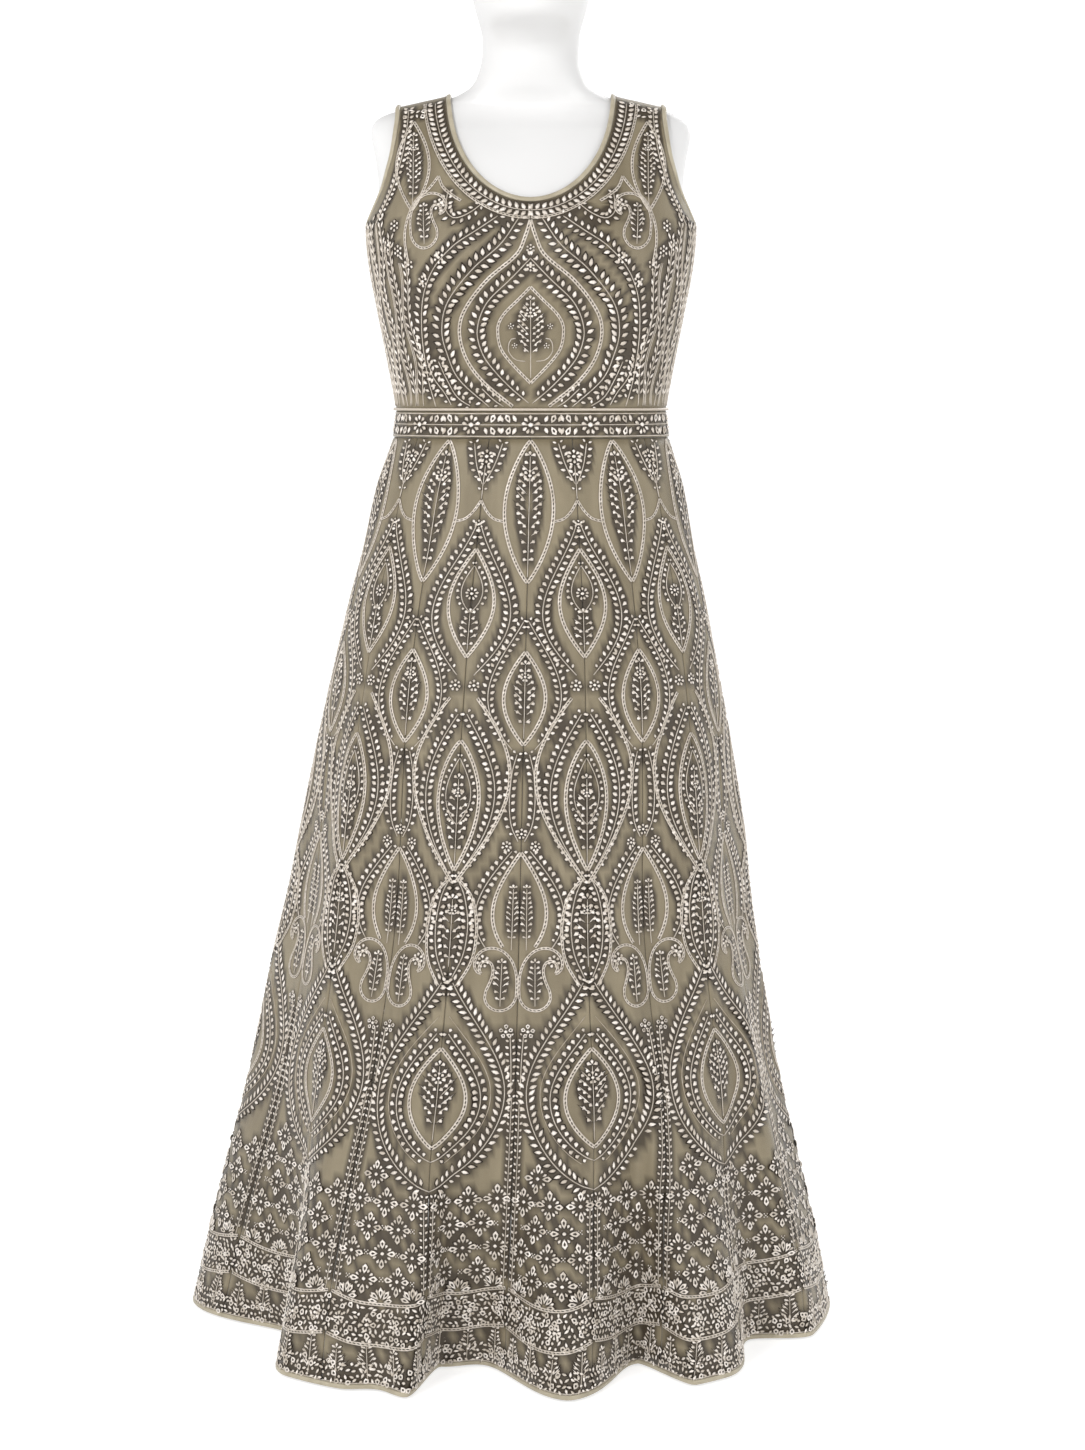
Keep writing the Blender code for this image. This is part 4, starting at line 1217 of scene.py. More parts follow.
@dataclass
class Needle:
    """Sews one piece: gathers its stitches and cords on a chart, then joins them in one mesh."""

    chart: Chart
    seed: int
    lift: float = 0.0
    keep: Callable[[Array], Array] | None = None
    sunk: float = 0.3 * MM
    rim: Pair = (1.3, 1.5)
    parts: list[tuple[Array, Array, Array, Array]] = field(default_factory=list)

    def __post_init__(self) -> None:
        """Starts the piece's own random draws."""
        self.random = np.random.default_rng(self.seed)

    def sew(
        self, stitch: Stitch, at: Array, heading: Array | float, size: Pair,
        height: float = 1.5 * MM, centred: bool = False, shine: float = 0.35,
    ) -> None:
        """Sews the same stitch at many places.

        Args:
            stitch: its shape.
            at: the coordinates of each, N by two.
            heading: which way each points, in radians from straight up, growing to the right.
            size: its length and width, one number each or one for each stitch.
            height: how far it stands off the cloth.
            centred: whether the place is its middle, not its foot.
            shine: the least brightness that a stitch may draw.
        """
        at = np.atleast_2d(at)
        count = len(at)
        if not count:
            return
        heading = np.broadcast_to(np.asarray(heading, float), count)
        heading = heading + self.random.normal(0.0, 0.07, count)
        length, width = (np.broadcast_to(np.asarray(s, float), count) * grown for s,
                         grown in zip(size, self.rim))
        length = length * self.random.uniform(0.92, 1.08, count)
        glint = self.random.uniform(shine, 1.0, count)
        points, right, down, normal = self.chart.frame(at)
        if self.keep is not None:
            kept = self.keep(points)
            heading, length, width, glint = heading[kept], length[kept], width[kept], glint[kept]
            points, right, down, normal = points[kept], right[kept], down[kept], normal[kept]
            count = len(points)
            if not count:
                return
        corners, faces, shade_heights = SHAPES[stitch]
        tip = right * np.sin(heading)[:, None] - down * np.cos(heading)[:, None]
        side = np.cross(tip, normal)
        along = corners[:, 1] - (0.5 if centred else 0.0)
        rise = corners[:, 2] * (height + self.sunk) - self.sunk + self.lift
        placed = (
            points[:, None]
            + side[:, None] * (corners[:, 0] * width[:, None])[..., None]
            + tip[:, None] * (along * length[:, None])[..., None]
            + normal[:, None] * rise[None, :, None]
        )
        count_faces = faces[None] + (np.arange(count) * len(corners))[:, None, None]
        self.parts.append((placed.reshape(-1, 3), count_faces.reshape(-1, 3), np.tile(shade_heights, count),
                           np.repeat(glint, len(corners))))
        SEWN.append(np.column_stack((points + tip * (length * (0.0 if centred else 0.5))[:, None],
                                     length * width)))

    def even(self, line: Array, spacing: float) -> tuple[Array, Array]:
        """Evenly spaced places along a line.

        Args:
            line: coordinates, M by two.
            spacing: about how far apart they are, in metres.

        Returns:
            Their coordinates, and the line's heading at each.
        """
        steps = np.diff(line, axis=0) * self.chart.scale((line[1:] + line[:-1]) / 2)
        lengths = np.concatenate(([0.0], np.cumsum(np.hypot(steps[:, 0], steps[:, 1]))))
        count = max(3, int(round(lengths[-1] / spacing)) + 1)
        wanted = np.linspace(0, lengths[-1], count)
        places = np.stack([np.interp(wanted, lengths, line[:, k]) for k in (0, 1)], axis=-1)
        turn = np.gradient(places, axis=0) * self.chart.scale(places)
        return places, np.arctan2(turn[:, 0], -turn[:, 1])

    def lay(self, line: Array, cord: Cord, shine: float = 0.3) -> None:
        """Lays a cord along a line, closed at both its ends."""
        places, _ = self.even(line, cord.step)
        points, _, _, normal = self.chart.frame(places)
        kept = np.ones(len(points), bool) if self.keep is None else self.keep(points)
        edges = np.flatnonzero(np.diff(np.concatenate(([0], kept.astype(int), [0]))))
        onward = unit(np.gradient(points, axis=0))
        side = np.cross(onward, normal)
        across = side[:, None] * np.array(cord.aside)[None, :, None]
        heights = np.array(cord.height)
        rise = np.where(heights > 0, heights, -self.sunk) + self.lift
        grid = points[:, None] + across + normal[:, None] * rise[None, :, None]
        shade_heights = np.tile(np.array(cord.tone), (len(points), 1))
        if cord.beaded >= 0:
            # Beads in a cord's groove get a lighter painted shade than the groove.
            shade_heights[::2, cord.beaded] = 0.36
            grid[::2, cord.beaded] += normal[::2] * 0.6 * MM
        sides = len(cord.aside)
        for start, end in zip(edges[::2], edges[1::2]):
            count = end - start
            if count < 2:
                continue
            near = (np.arange(count - 1) * sides)[:, None]
            j = np.arange(sides)[None]
            k = (j + 1) % sides
            a, b, c, d = near + j, near + k, near + sides + k, near + sides + j
            walls = np.concatenate((np.stack((a, b, c), -1).reshape(-1, 3),
                                    np.stack((a, c, d), -1).reshape(-1, 3)))
            fan = np.array([(0, i + 1, i) for i in range(1, sides - 1)])
            last = (count - 1) * sides
            faces = np.concatenate((walls, fan, fan[:, ::-1] + last))
            corners = grid[start:end].reshape(-1, 3)
            middle = corners - corners.mean(axis=0)
            corner = middle[faces]
            volume = np.sum(corner[:, 0] * np.cross(corner[:, 1], corner[:, 2]))
            if volume < 0:
                faces = faces[:, ::-1]
            glint = np.repeat(self.random.uniform(shine, shine + 0.3, count), sides)
            self.parts.append((corners, faces, shade_heights[start:end].ravel(), glint))

    def vine(
        self, line: Array, spacing: float, leaf: Pair, lean: float = 52.0,
        stitches: tuple[Stitch, Stitch] = (LEAF, LEAF), foot: float = 1.0 * MM,
        stem: Cord | None = None, sides: tuple[int, ...] = (-1, 1), taper: float = 0.3,
    ) -> None:
        """Leaves on both sides of a stem, smaller at its ends.

        Args:
            line: the stem's coordinates, the way that the leaves point.
            spacing: from leaf to leaf.
            leaf: a leaf's length and width.
            lean: how far the leaves turn from the stem, in degrees.
            stitches: the shapes on the left and on the right.
            foot: from the stem's middle to a leaf's foot.
            stem: the stem's own cord, or none.
            sides: which sides have leaves.
            taper: how much smaller the end leaves are.
        """
        places, heading = self.even(line, spacing)
        places, heading = places[1:], heading[1:]
        size = 1 - taper * np.abs(np.linspace(-1, 1, len(places))) ** 4
        for side in sides:
            turn = heading + side * math.radians(lean)
            feet = self.chart.beside(places, foot * np.sin(turn), -foot * np.cos(turn))
            stitch = stitches[0] if side < 0 else stitches[1]
            self.sew(stitch, feet, turn, (leaf[0] * size, leaf[1] * size))
        if stem is not None:
            self.lay(line, stem)

    def tree(
        self, foot: Pair, top: Pair, spread: float, spacing: float = 7.6 * MM,
        drop: Pair = (6.0 * MM, 5.0 * MM), lean: float = 50.0, widest: float = 0.45,
        bare: float = 0.1, crown: float = 0.0,
    ) -> None:
        """A small tree of drops on branches, within a leaf-shaped outline.

        Args:
            foot: where it grows from.
            top: its tip.
            spread: half its width in metres.
            spacing: from branch to branch.
            drop: a drop's length and width.
            lean: how far the branches turn from the stem, in degrees.
            widest: the share of its height where it is widest.
            bare: the share of the stem with no branches.
            crown: the radius of a flower near its top, or none.
        """
        line = np.linspace(foot, top, 10)
        width = min(drop[1], spacing * math.sin(math.radians(lean)) * 0.66)
        self.lay(line, Cord.single(1.3 * MM))
        places, heading = self.even(line, spacing)
        share = np.clip((np.linspace(0, 1, len(places)) - bare) / (1 - bare), 0, 1)
        reach = spread * np.sin(np.pi * share ** (math.log(0.5) / math.log(widest))) ** 0.8
        grown = share > 0.02
        places, heading, reach = places[grown], heading[grown], np.maximum(reach[grown], drop[0] * 0.8)
        for side in (-1, 1):
            turn = heading + side * math.radians(lean)
            self.sew(LEAF, places, turn, (reach, 1.3 * MM), height=0.8 * MM, shine=0.2)
            start = np.maximum(reach - drop[0] * 1.2, 0.8 * MM)
            while (start > 0).any():
                fits = start > 0
                away, way = start[fits], turn[fits]
                feet = self.chart.beside(places[fits], away * np.sin(way), -away * np.cos(way))
                self.sew(DROP, feet, way + side * math.radians(14), (drop[0], width))
                start = start - drop[0] * 1.2
        self.sew(DROP, np.array([top]), 0.0, (drop[0] * 1.1, drop[1] * 0.8))
        if crown:
            self.flower([self.between(foot, top, 0.84)], crown, 7)

    @staticmethod
    def between(foot: Pair, top: Pair, share: float) -> Array:
        """The coordinates a share of the way from the foot to the top."""
        return np.array(foot) + (np.array(top) - np.array(foot)) * share

    def flower(
        self, at: Array, radius: float, petals: int, stitch: Stitch = DROP, turn: float = 0.0,
        heart: float = 0.26,
    ) -> None:
        """Petals round a bead, at each of some places."""
        at = np.atleast_2d(at)
        self.sew(BEAD, at, 0.0, (radius * heart * 2, radius * heart * 2), 1.7 * MM, True, shine=0.8)
        width = 2 * radius * math.tan(math.pi / petals) * 0.47
        for k in range(petals):
            angle = turn + math.tau * k / petals
            foot = radius * heart * 0.9
            feet = self.chart.beside(at, foot * math.sin(angle), -foot * math.cos(angle))
            self.sew(stitch, feet, angle, (radius * 0.82 - foot, min(width, radius * 0.45)))

    def star(self, at: Array, radius: float) -> None:
        """Four long looped petals up, down and aside, pairs of short ones between, and a bead."""
        at = np.atleast_2d(at)
        self.sew(BEAD, at, 0.0, (radius * 0.3, radius * 0.28), 1.8 * MM, True, shine=0.8)
        for k in range(12):
            angle = math.tau * k / 12
            foot = radius * (0.24 if k % 3 == 0 else 0.32)
            feet = self.chart.beside(at, foot * math.sin(angle), -foot * math.cos(angle))
            if k % 3:
                self.sew(DROP, feet, angle, (radius * 0.33, radius * 0.19))
            else:
                self.sew(LOOP, feet, angle, (radius * 0.6, radius * 0.3))

    def fan(self, at: Pair, radius: float) -> None:
        """Half a flower that stands on a line: five looped petals, with drops between their tips."""
        for k in range(-4, 5):
            angle = math.radians(20 * k)
            foot = radius * (0.3 if k % 2 else 0.12)
            feet = self.chart.beside(np.array([at]), foot * math.sin(angle), -foot * math.cos(angle))
            stitch, size = (DROP, (0.42, 0.16)) if k % 2 else (LOOP, (0.64 - 0.03 * abs(k), 0.22))
            self.sew(stitch, feet, angle, (radius * size[0], radius * size[1]))

    def scatter(self, at: Array, leaf: Pair = (7.4 * MM, 3.2 * MM), shake: float = 1.4 * MM) -> None:
        """Dense work: leaves, loops and beads at shaken places, turned every way."""
        at = np.atleast_2d(at)
        count = len(at)
        aside, down = self.random.uniform(-shake, shake, (2, count))
        at = self.chart.beside(at, aside, down)
        kind = self.random.random(count)
        turn = self.random.uniform(0, math.tau, count)
        for stitch, chosen, size in (
            (LEAF, kind < 0.6, leaf),
            (LOOP, (kind >= 0.6) & (kind < 0.82), (leaf[0] * 0.95, leaf[1] * 1.6)),
            (BEAD, kind >= 0.82, (leaf[1] * 1.25, leaf[1] * 1.25)),
        ):
            self.sew(stitch, at[chosen], turn[chosen], size, centred=True)

    def paisley(self, at: Pair, height: float, radius: float, hand: int) -> None:
        """A drop-shaped paisley whose tip curls to one side, with a spray inside and a flower in the curl.

        Args:
            at: the middle of its round body.
            height: from its body's middle to the top of the curl, in metres.
            radius: of its body.
            hand: 1 where the tip curls to the right, -1 to the left.
        """
        share = np.linspace(0, 1, 44)
        turn = hand * np.radians(-14 + 250 * share**2.1)
        step = 1.42 * height / (len(share) - 1)
        middle = np.cumsum(np.stack((np.sin(turn), np.cos(turn)), -1) * step, axis=0) - (0, step)
        half = (radius * (1 - share) ** 0.85)[:, None] * np.stack((np.cos(turn), -np.sin(turn)), -1)
        bottom = np.linspace(-np.pi / 2, np.pi / 2, 20)[1:-1]
        round_foot = np.stack((np.sin(bottom), -np.cos(bottom)), -1) * radius
        outline = np.concatenate(((middle - half)[::-1], round_foot, middle + half))
        place = np.tile(np.array(at), (len(outline), 1))
        self.lay(self.chart.beside(place, outline[:, 0], -outline[:, 1]), Cord.double(3.7 * MM))
        here = np.array([at])
        foot = tuple(self.chart.beside(here, 0.0, radius * 0.72)[0])
        tip = middle[18]
        top = tuple(self.chart.beside(here, float(tip[0]), -float(tip[1]))[0])
        self.tree(foot, top, radius * 0.66, 6.2 * MM, (5.0 * MM, 3.8 * MM))
        curl = middle[24:].mean(axis=0)
        self.flower(self.chart.beside(here, float(curl[0]), -float(curl[1])), radius * 0.5, 7)

    def piece(self, name: str, material: Material) -> Piece:
        """Joins everything that was sewn into one piece."""
        corners = np.concatenate([part[0] for part in self.parts])
        starts = np.cumsum([0] + [len(part[0]) for part in self.parts[:-1]])
        faces = np.concatenate([part[1] + start for part, start in zip(self.parts, starts)])
        mesh = bpy.data.meshes.new(name)
        mesh.vertices.add(len(corners))
        mesh.vertices.foreach_set("co", corners.astype(np.float32).ravel())
        mesh.loops.add(faces.size)
        mesh.loops.foreach_set("vertex_index", faces.astype(np.int32).ravel())
        mesh.polygons.add(len(faces))
        mesh.polygons.foreach_set("loop_start", np.arange(0, faces.size, 3, dtype=np.int32))
        mesh.update(calc_edges=True)
        mesh.shade_smooth()
        paint_shade_and_glint(mesh, np.concatenate([part[2] for part in self.parts]),
                   np.concatenate([p[3] for p in self.parts]))
        return new_piece(name, mesh, material)


SHAPES = {stitch: stitch.shape() for stitch in Stitch}
SEWN: list[Array] = []


def lens(
    centre: float, top: float, bottom: float, half: float, widest: float = 0.5, pinch: float = 1.0,
    foot: float | None = None,
) -> tuple[Array, Array]:
    """The left and right sides of a pointed oval, from its tip down to its foot.

    Args:
        centre: its middle, across.
        top: its tip, down.
        bottom: its foot, down.
        half: half its width, across.
        widest: the share of its height where it is widest.
        pinch: 1 for a plain lens; more draws its tips in, as on an onion dome.
        foot: the same for the part below the widest place, where it differs.
    """
    share = np.linspace(0, 1, 48)
    power = np.where(share > widest, pinch if foot is None else foot, pinch)
    swing = half * np.sin(np.pi * share ** (math.log(0.5) / math.log(widest))).clip(0) ** power
    down = top + (bottom - top) * share
    return np.stack((centre - swing, down), axis=-1), np.stack((centre + swing, down), axis=-1)


def part_of(line: Array, start: float, end: float) -> Array:
    """The stretch of a line between two heights, going down."""
    return line[(line[:, 1] >= start) & (line[:, 1] <= end)]


def flowing(points: Array, count: int = 24) -> Array:
    """A smooth line through a few points."""
    rows = np.column_stack((np.arange(len(points)), points))
    return smooth_table(rows, np.linspace(0, len(points) - 1, count))


@dataclass
class SkirtNeedlework:
    """Silver work down the skirt: two kinds of column by turns, a star lattice, a border and hem sprays."""

    chart: Chart
    wardrobe: Wardrobe

    def lens_column(self, needle: Needle, c: float) -> None:
        """The column with pointed ovals on the seam and a pair of paisleys low down."""
        double, single = Cord.double(), Cord.single()
        for side in lens(c, 0.003, 0.157, 0.5, 0.47, 0.85):
            needle.lay(side, double)
        needle.tree((c, 0.151), (c, 0.02), 19.0 * MM, 8.8 * MM, (5.6 * MM, 5.0 * MM), widest=0.55,
                    crown=8.5 * MM)
        for side in lens(c, 0.192, 0.348, 0.6, 0.55, 1.0):
            row = part_of(side, 0.196, 0.336)
            needle.vine(row[::-1], 7.6 * MM, (7.0 * MM, 4.2 * MM), 55, (LEAF, LEAF), stem=single)
        for side in lens(c, 0.231, 0.33, 0.34, 0.5, 0.9):
            needle.lay(side, double)
        needle.tree((c, 0.323), (c, 0.245), 15.0 * MM, 8.4 * MM, (5.4 * MM, 4.6 * MM), crown=6.5 * MM)
        for hand in (-1, 1):
            line = flowing(((0.05, 0.432), (0.16, 0.415), (0.2, 0.39), (0.17, 0.36), (0.1, 0.34))) * (hand, 1)
            needle.vine(line + (c, 0), 8.0 * MM, (7.0 * MM, 4.6 * MM), 55, (DROP, LEAF), stem=single)
        needle.flower([(c, 0.424), (c - 0.22, 0.437), (c + 0.22, 0.437)], 7.0 * MM, 7)
        for side in lens(c, 0.43, 0.575, 0.66, 0.55, 0.9):
            needle.vine(part_of(side, 0.44, 0.545)[::-1], 7.6 * MM, (7.4 * MM, 5.2 * MM), 58,
                        (DROP, DROP), stem=single)
        for side in lens(c, 0.444, 0.56, 0.4, 0.55, 0.8):
            needle.lay(part_of(side, 0.44, 0.545), double)
        for hand in (-1, 1):
            needle.tree((c + 0.11 * hand, 0.546), (c + 0.1 * hand, 0.482), 9.6 * MM, 5.8 * MM,
                        (4.4 * MM, 4.0 * MM), 44)
            needle.paisley((c + 0.245 * hand, 0.592), 58 * MM, 17.0 * MM, hand)
            needle.flower([(c + 0.15 * hand, 0.63)], 8.5 * MM, 5, LOOP)
            spray = flowing(((0.06, 0.69), (0.07, 0.66), (0.09, 0.635))) * (hand, 1) + (c, 0)
            needle.vine(spray, 7.0 * MM, (5.6 * MM, 3.4 * MM), 50, stem=single)

    def ogee_column(self, needle: Needle, c: float) -> None:
        """The column with a flower spray at the waist and three ogees below it."""
        double, single = Cord.double(), Cord.single()
        needle.flower([(c, 0.02)], 9.5 * MM, 8)
        needle.vine(np.array(((c, 0.066), (c, 0.03))), 9.0 * MM, (7.4 * MM, 4.2 * MM), 62, stem=single)
        for hand in (-1, 1):
            branch = flowing(((0.02, 0.05), (0.2, 0.03), (0.34, 0.006))) * (hand, 1) + (c, 0)
            needle.vine(branch, 8.4 * MM, (7.6 * MM, 3.9 * MM), 58, stem=single)
            arc = flowing(((0.0, 0.068), (0.14, 0.08), (0.3, 0.088), (0.5, 0.091))) * (hand, 1) + (c, 0)
            needle.lay(arc, Cord.double(3.6 * MM))
        # The first ogee: a leaf border round a beaded lens.
        for hand, side in zip((-1, 1), lens(c, 0.083, 0.268, 0.72, 0.58, 1.15)):
            needle.vine(part_of(side, 0.092, 0.26)[::-1], 7.8 * MM, (8.2 * MM, 4.8 * MM), 58,
                        (DROP, LEAF) if hand < 0 else (LEAF, DROP), stem=single)
        needle.flower([(c, 0.094)], 6.0 * MM, 6)
        for side in lens(c, 0.121, 0.237, 0.42, 0.5, 0.95):
            needle.lay(side, double)
        self.arch(needle, c, 0.139, 0.189, 0.2)
        needle.flower([(c, 0.169)], 9.0 * MM, 9)
        needle.tree((c, 0.231), (c, 0.19), 13.0 * MM, 7.4 * MM, (5.4 * MM, 4.2 * MM), 58)
        needle.flower([(c - 0.16, 0.267), (c + 0.16, 0.267)], 8.0 * MM, 7)
        # The second ogee: a beaded outline, a leaf row and an inner lens.
        for side in lens(c, 0.262, 0.478, 0.8, 0.47, 1.1):
            needle.lay(part_of(side, 0.276, 0.476), Cord.double(4.4 * MM))
        for hand, side in zip((-1, 1), lens(c, 0.29, 0.474, 0.57, 0.5, 1.0)):
            needle.vine(part_of(side, 0.296, 0.464)[::-1], 7.8 * MM, (7.8 * MM, 5.2 * MM), 60,
                        (DROP, LEAF) if hand < 0 else (LEAF, DROP), stem=single)
        for side in lens(c, 0.326, 0.462, 0.33, 0.45, 0.9):
            needle.lay(side, double)
        self.arch(needle, c, 0.344, 0.414, 0.2)
        needle.tree((c, 0.456), (c, 0.366), 15.0 * MM, 8.4 * MM, (5.4 * MM, 4.6 * MM), 52, widest=0.45,
                    crown=6.5 * MM)
        # Leaf rows that fall from the second ogee's foot to the third one's tip.
        for hand in (-1, 1):
            inner = flowing(((0.06, 0.573), (0.2, 0.548), (0.24, 0.518), (0.17, 0.488), (0.04, 0.468)))
            needle.vine(inner * (hand, 1) + (c, 0), 7.6 * MM, (7.6 * MM, 5.0 * MM), 58,
                        (LEAF, DROP), stem=single)
            outer = flowing(((0.07, 0.47), (0.28, 0.49), (0.375, 0.52), (0.33, 0.554), (0.13, 0.582)))
            needle.lay(outer * (hand, 1) + (c, 0), Cord.double(3.8 * MM))
        needle.tree((c, 0.562), (c, 0.492), 14.0 * MM, 8.6 * MM, (5.6 * MM, 4.6 * MM), crown=6.0 * MM)
        # The third ogee: a long-leaf border, a plain channel, a drop row and a beaded lens.
        for side in lens(c, 0.564, 0.792, 0.86, 0.57, 1.05, 0.72):
            needle.vine(part_of(side, 0.574, 0.793)[::-1], 7.8 * MM, (10.4 * MM, 4.6 * MM), 52, stem=single,
                        taper=0.1)
        needle.vine(np.array(((c, 0.6), (c, 0.572))), 7.0 * MM, (7.0 * MM, 4.4 * MM), 50)
        for side in lens(c, 0.606, 0.771, 0.68, 0.54, 0.95, 0.75):
            needle.lay(part_of(side, 0.612, 0.766), Cord.single(1.2 * MM), 0.05)
        for side in lens(c, 0.622, 0.762, 0.55, 0.55, 0.95, 0.75):
            needle.vine(part_of(side, 0.628, 0.763)[::-1], 8.4 * MM, (7.6 * MM, 5.8 * MM), 62,
                        (DROP, DROP), stem=single)
        for side in lens(c, 0.646, 0.748, 0.36, 0.52, 0.85):
            needle.lay(side, double)
        needle.tree((c, 0.741), (c, 0.664), 22.0 * MM, 9.0 * MM, (5.6 * MM, 4.6 * MM), 50, widest=0.5,
                    crown=8.0 * MM)

    @staticmethod
    def arch(needle: Needle, c: float, top: float, bottom: float, half: float) -> None:
        """A small pointed arch of thread with drops all round its outside."""
        for hand, side in zip((-1, 1), lens(c, top, bottom, half, 0.55, 0.8)):
            needle.lay(side, Cord.single(1.4 * MM))
            needle.vine(side[::-1], 6.4 * MM, (5.4 * MM, 4.2 * MM), 62, (DROP, DROP), sides=(hand,))

    def lattice(self, needle: Needle, panel: int) -> None:
        """Star flowers in a slanting lattice between two seams, with small beads that link them."""
        pitch = 0.0262
        stars = []
        for row in range(5):
            down = 0.781 + row * pitch
            width = float(self.chart.scale(np.array([(panel + 0.5, 0.84)]))[0, 0])
            count = max(2, int(round(width / (41 * MM))))
            aside = (np.arange(count + 1) - (0.5 if row % 2 else 0.0)) / count
            least = 0.3 if row == 0 else 0.09
            stars += [(panel + a,
                       down) for a in aside if least < a + (row == 0) * abs(panel % 2 - a) < 1 - 0.09]
        stars = np.array(stars)
        needle.star(stars, 17.0 * MM)
        link = needle.chart.beside(stars, 0.0, 27 * MM)
        needle.flower(link[link[:, 1] < 0.89], 4.0 * MM, 4, DROP, math.pi / 4)

    def seam_rows(self, needle: Needle, seam: int) -> None:
        """A leaf row on each side of a seam, from the paisleys down to the border."""
        for hand in (-1, 1):
            line = np.array(((seam + hand * 0.055, 0.902), (seam + hand * 0.05, 0.8 if seam % 2 else 0.7)))
            needle.vine(line, 7.4 * MM, (4.8 * MM, 2.8 * MM), 40, stem=Cord.single(1.2 * MM), taper=0.0)

    def border(self, needle: Needle, panel: int) -> None:
        """The dense band above the hem, in an arc between the seams, edged with beaded cords."""
        share = np.linspace(0.02, 0.98, 40)
        sag = 0.009 * np.sin(np.pi * share)
        for height in (0.902, 0.944):
            needle.lay(np.stack((panel + share, height + sag), -1), Cord.double(4.2 * MM))
        width = float(self.chart.scale(np.array([(panel + 0.5, 0.925)]))[0, 0])
        self.fill(needle, panel, width, 0.9075, 0.9405, 0.009, 6.6 * MM)
        count = max(3, int(width / (30 * MM)))
        blooms = np.linspace(0, 1, count + 1)[:-1] + 0.5 / count
        needle.flower(np.stack((panel + blooms, 0.924 + 0.009 * np.sin(np.pi * blooms)), -1), 8.5 * MM, 8)
        count = max(3, int(width / (34 * MM)))
        for k in range(count):
            a = (k + 0.5) / count
            down = 0.9 + 0.009 * math.sin(math.pi * a)
            needle.fan((panel + a, down), 19 * MM)

    def fill(
        self, needle: Needle, panel: int, width: float, top: float, bottom: float, sag: float, pitch: float
    ) -> None:
        """Dense work between two heights of a panel, which both sag in the middle."""
        rows = max(1, int(round((bottom - top) * SKIRT_DROP / (pitch * 0.86))))
        columns = int(round(width / pitch))
        down, across = np.meshgrid(np.linspace(top, bottom, rows + 1), (np.arange(columns) + 0.5) / columns)
        across = across + (np.arange(rows + 1)[None] % 2 - 0.5) * 0.5 / columns
        places = np.stack((panel + across.ravel(), down.ravel() + sag * np.sin(np.pi * across.ravel())), -1)
        needle.scatter(places)

    def hem(self, needle: Needle, panel: int) -> None:
        """Pointed sprays that stand on the hem, with dense work round their feet."""
        width = float(self.chart.scale(np.array([(panel + 0.5, 0.975)]))[0, 0])
        self.fill(needle, panel, width, 0.9725, 0.99, 0.0, 6.2 * MM)
        count = max(4, int(round(width / (33 * MM))))
        for k in range(count):
            a = (k + 0.5) / count
            rise = 0.036 if k % 2 else 0.029
            needle.tree((panel + a, 0.988), (panel + a, 0.988 - rise), 14.0 * MM, 5.4 * MM,
                        (5.8 * MM, 3.8 * MM), 46, widest=0.3, bare=0.0)
        edge = np.stack((panel + np.linspace(0.01, 0.99, 30), np.full(30, 0.9915)), -1)
        needle.lay(edge, Cord.single(1.6 * MM))

    def make(self) -> None:
        """Sews every column and panel."""
        for number in range(PANELS):
            needle = Needle(self.chart, 100 + number)
            kind = "ogee" if number % 2 else "lens"
            (self.ogee_column if number % 2 else self.lens_column)(needle, float(number))
            needle.piece(f"silver_work_{kind}_{number // 2 + 1:02d}", self.wardrobe.thread)
        for panel in range(PANELS):
            needle = Needle(self.chart, 200 + panel)
            self.lattice(needle, panel)
            self.seam_rows(needle, panel)
            self.border(needle, panel)
            self.hem(needle, panel)
            needle.piece(f"silver_work_hem_{panel + 1:02d}", self.wardrobe.thread)


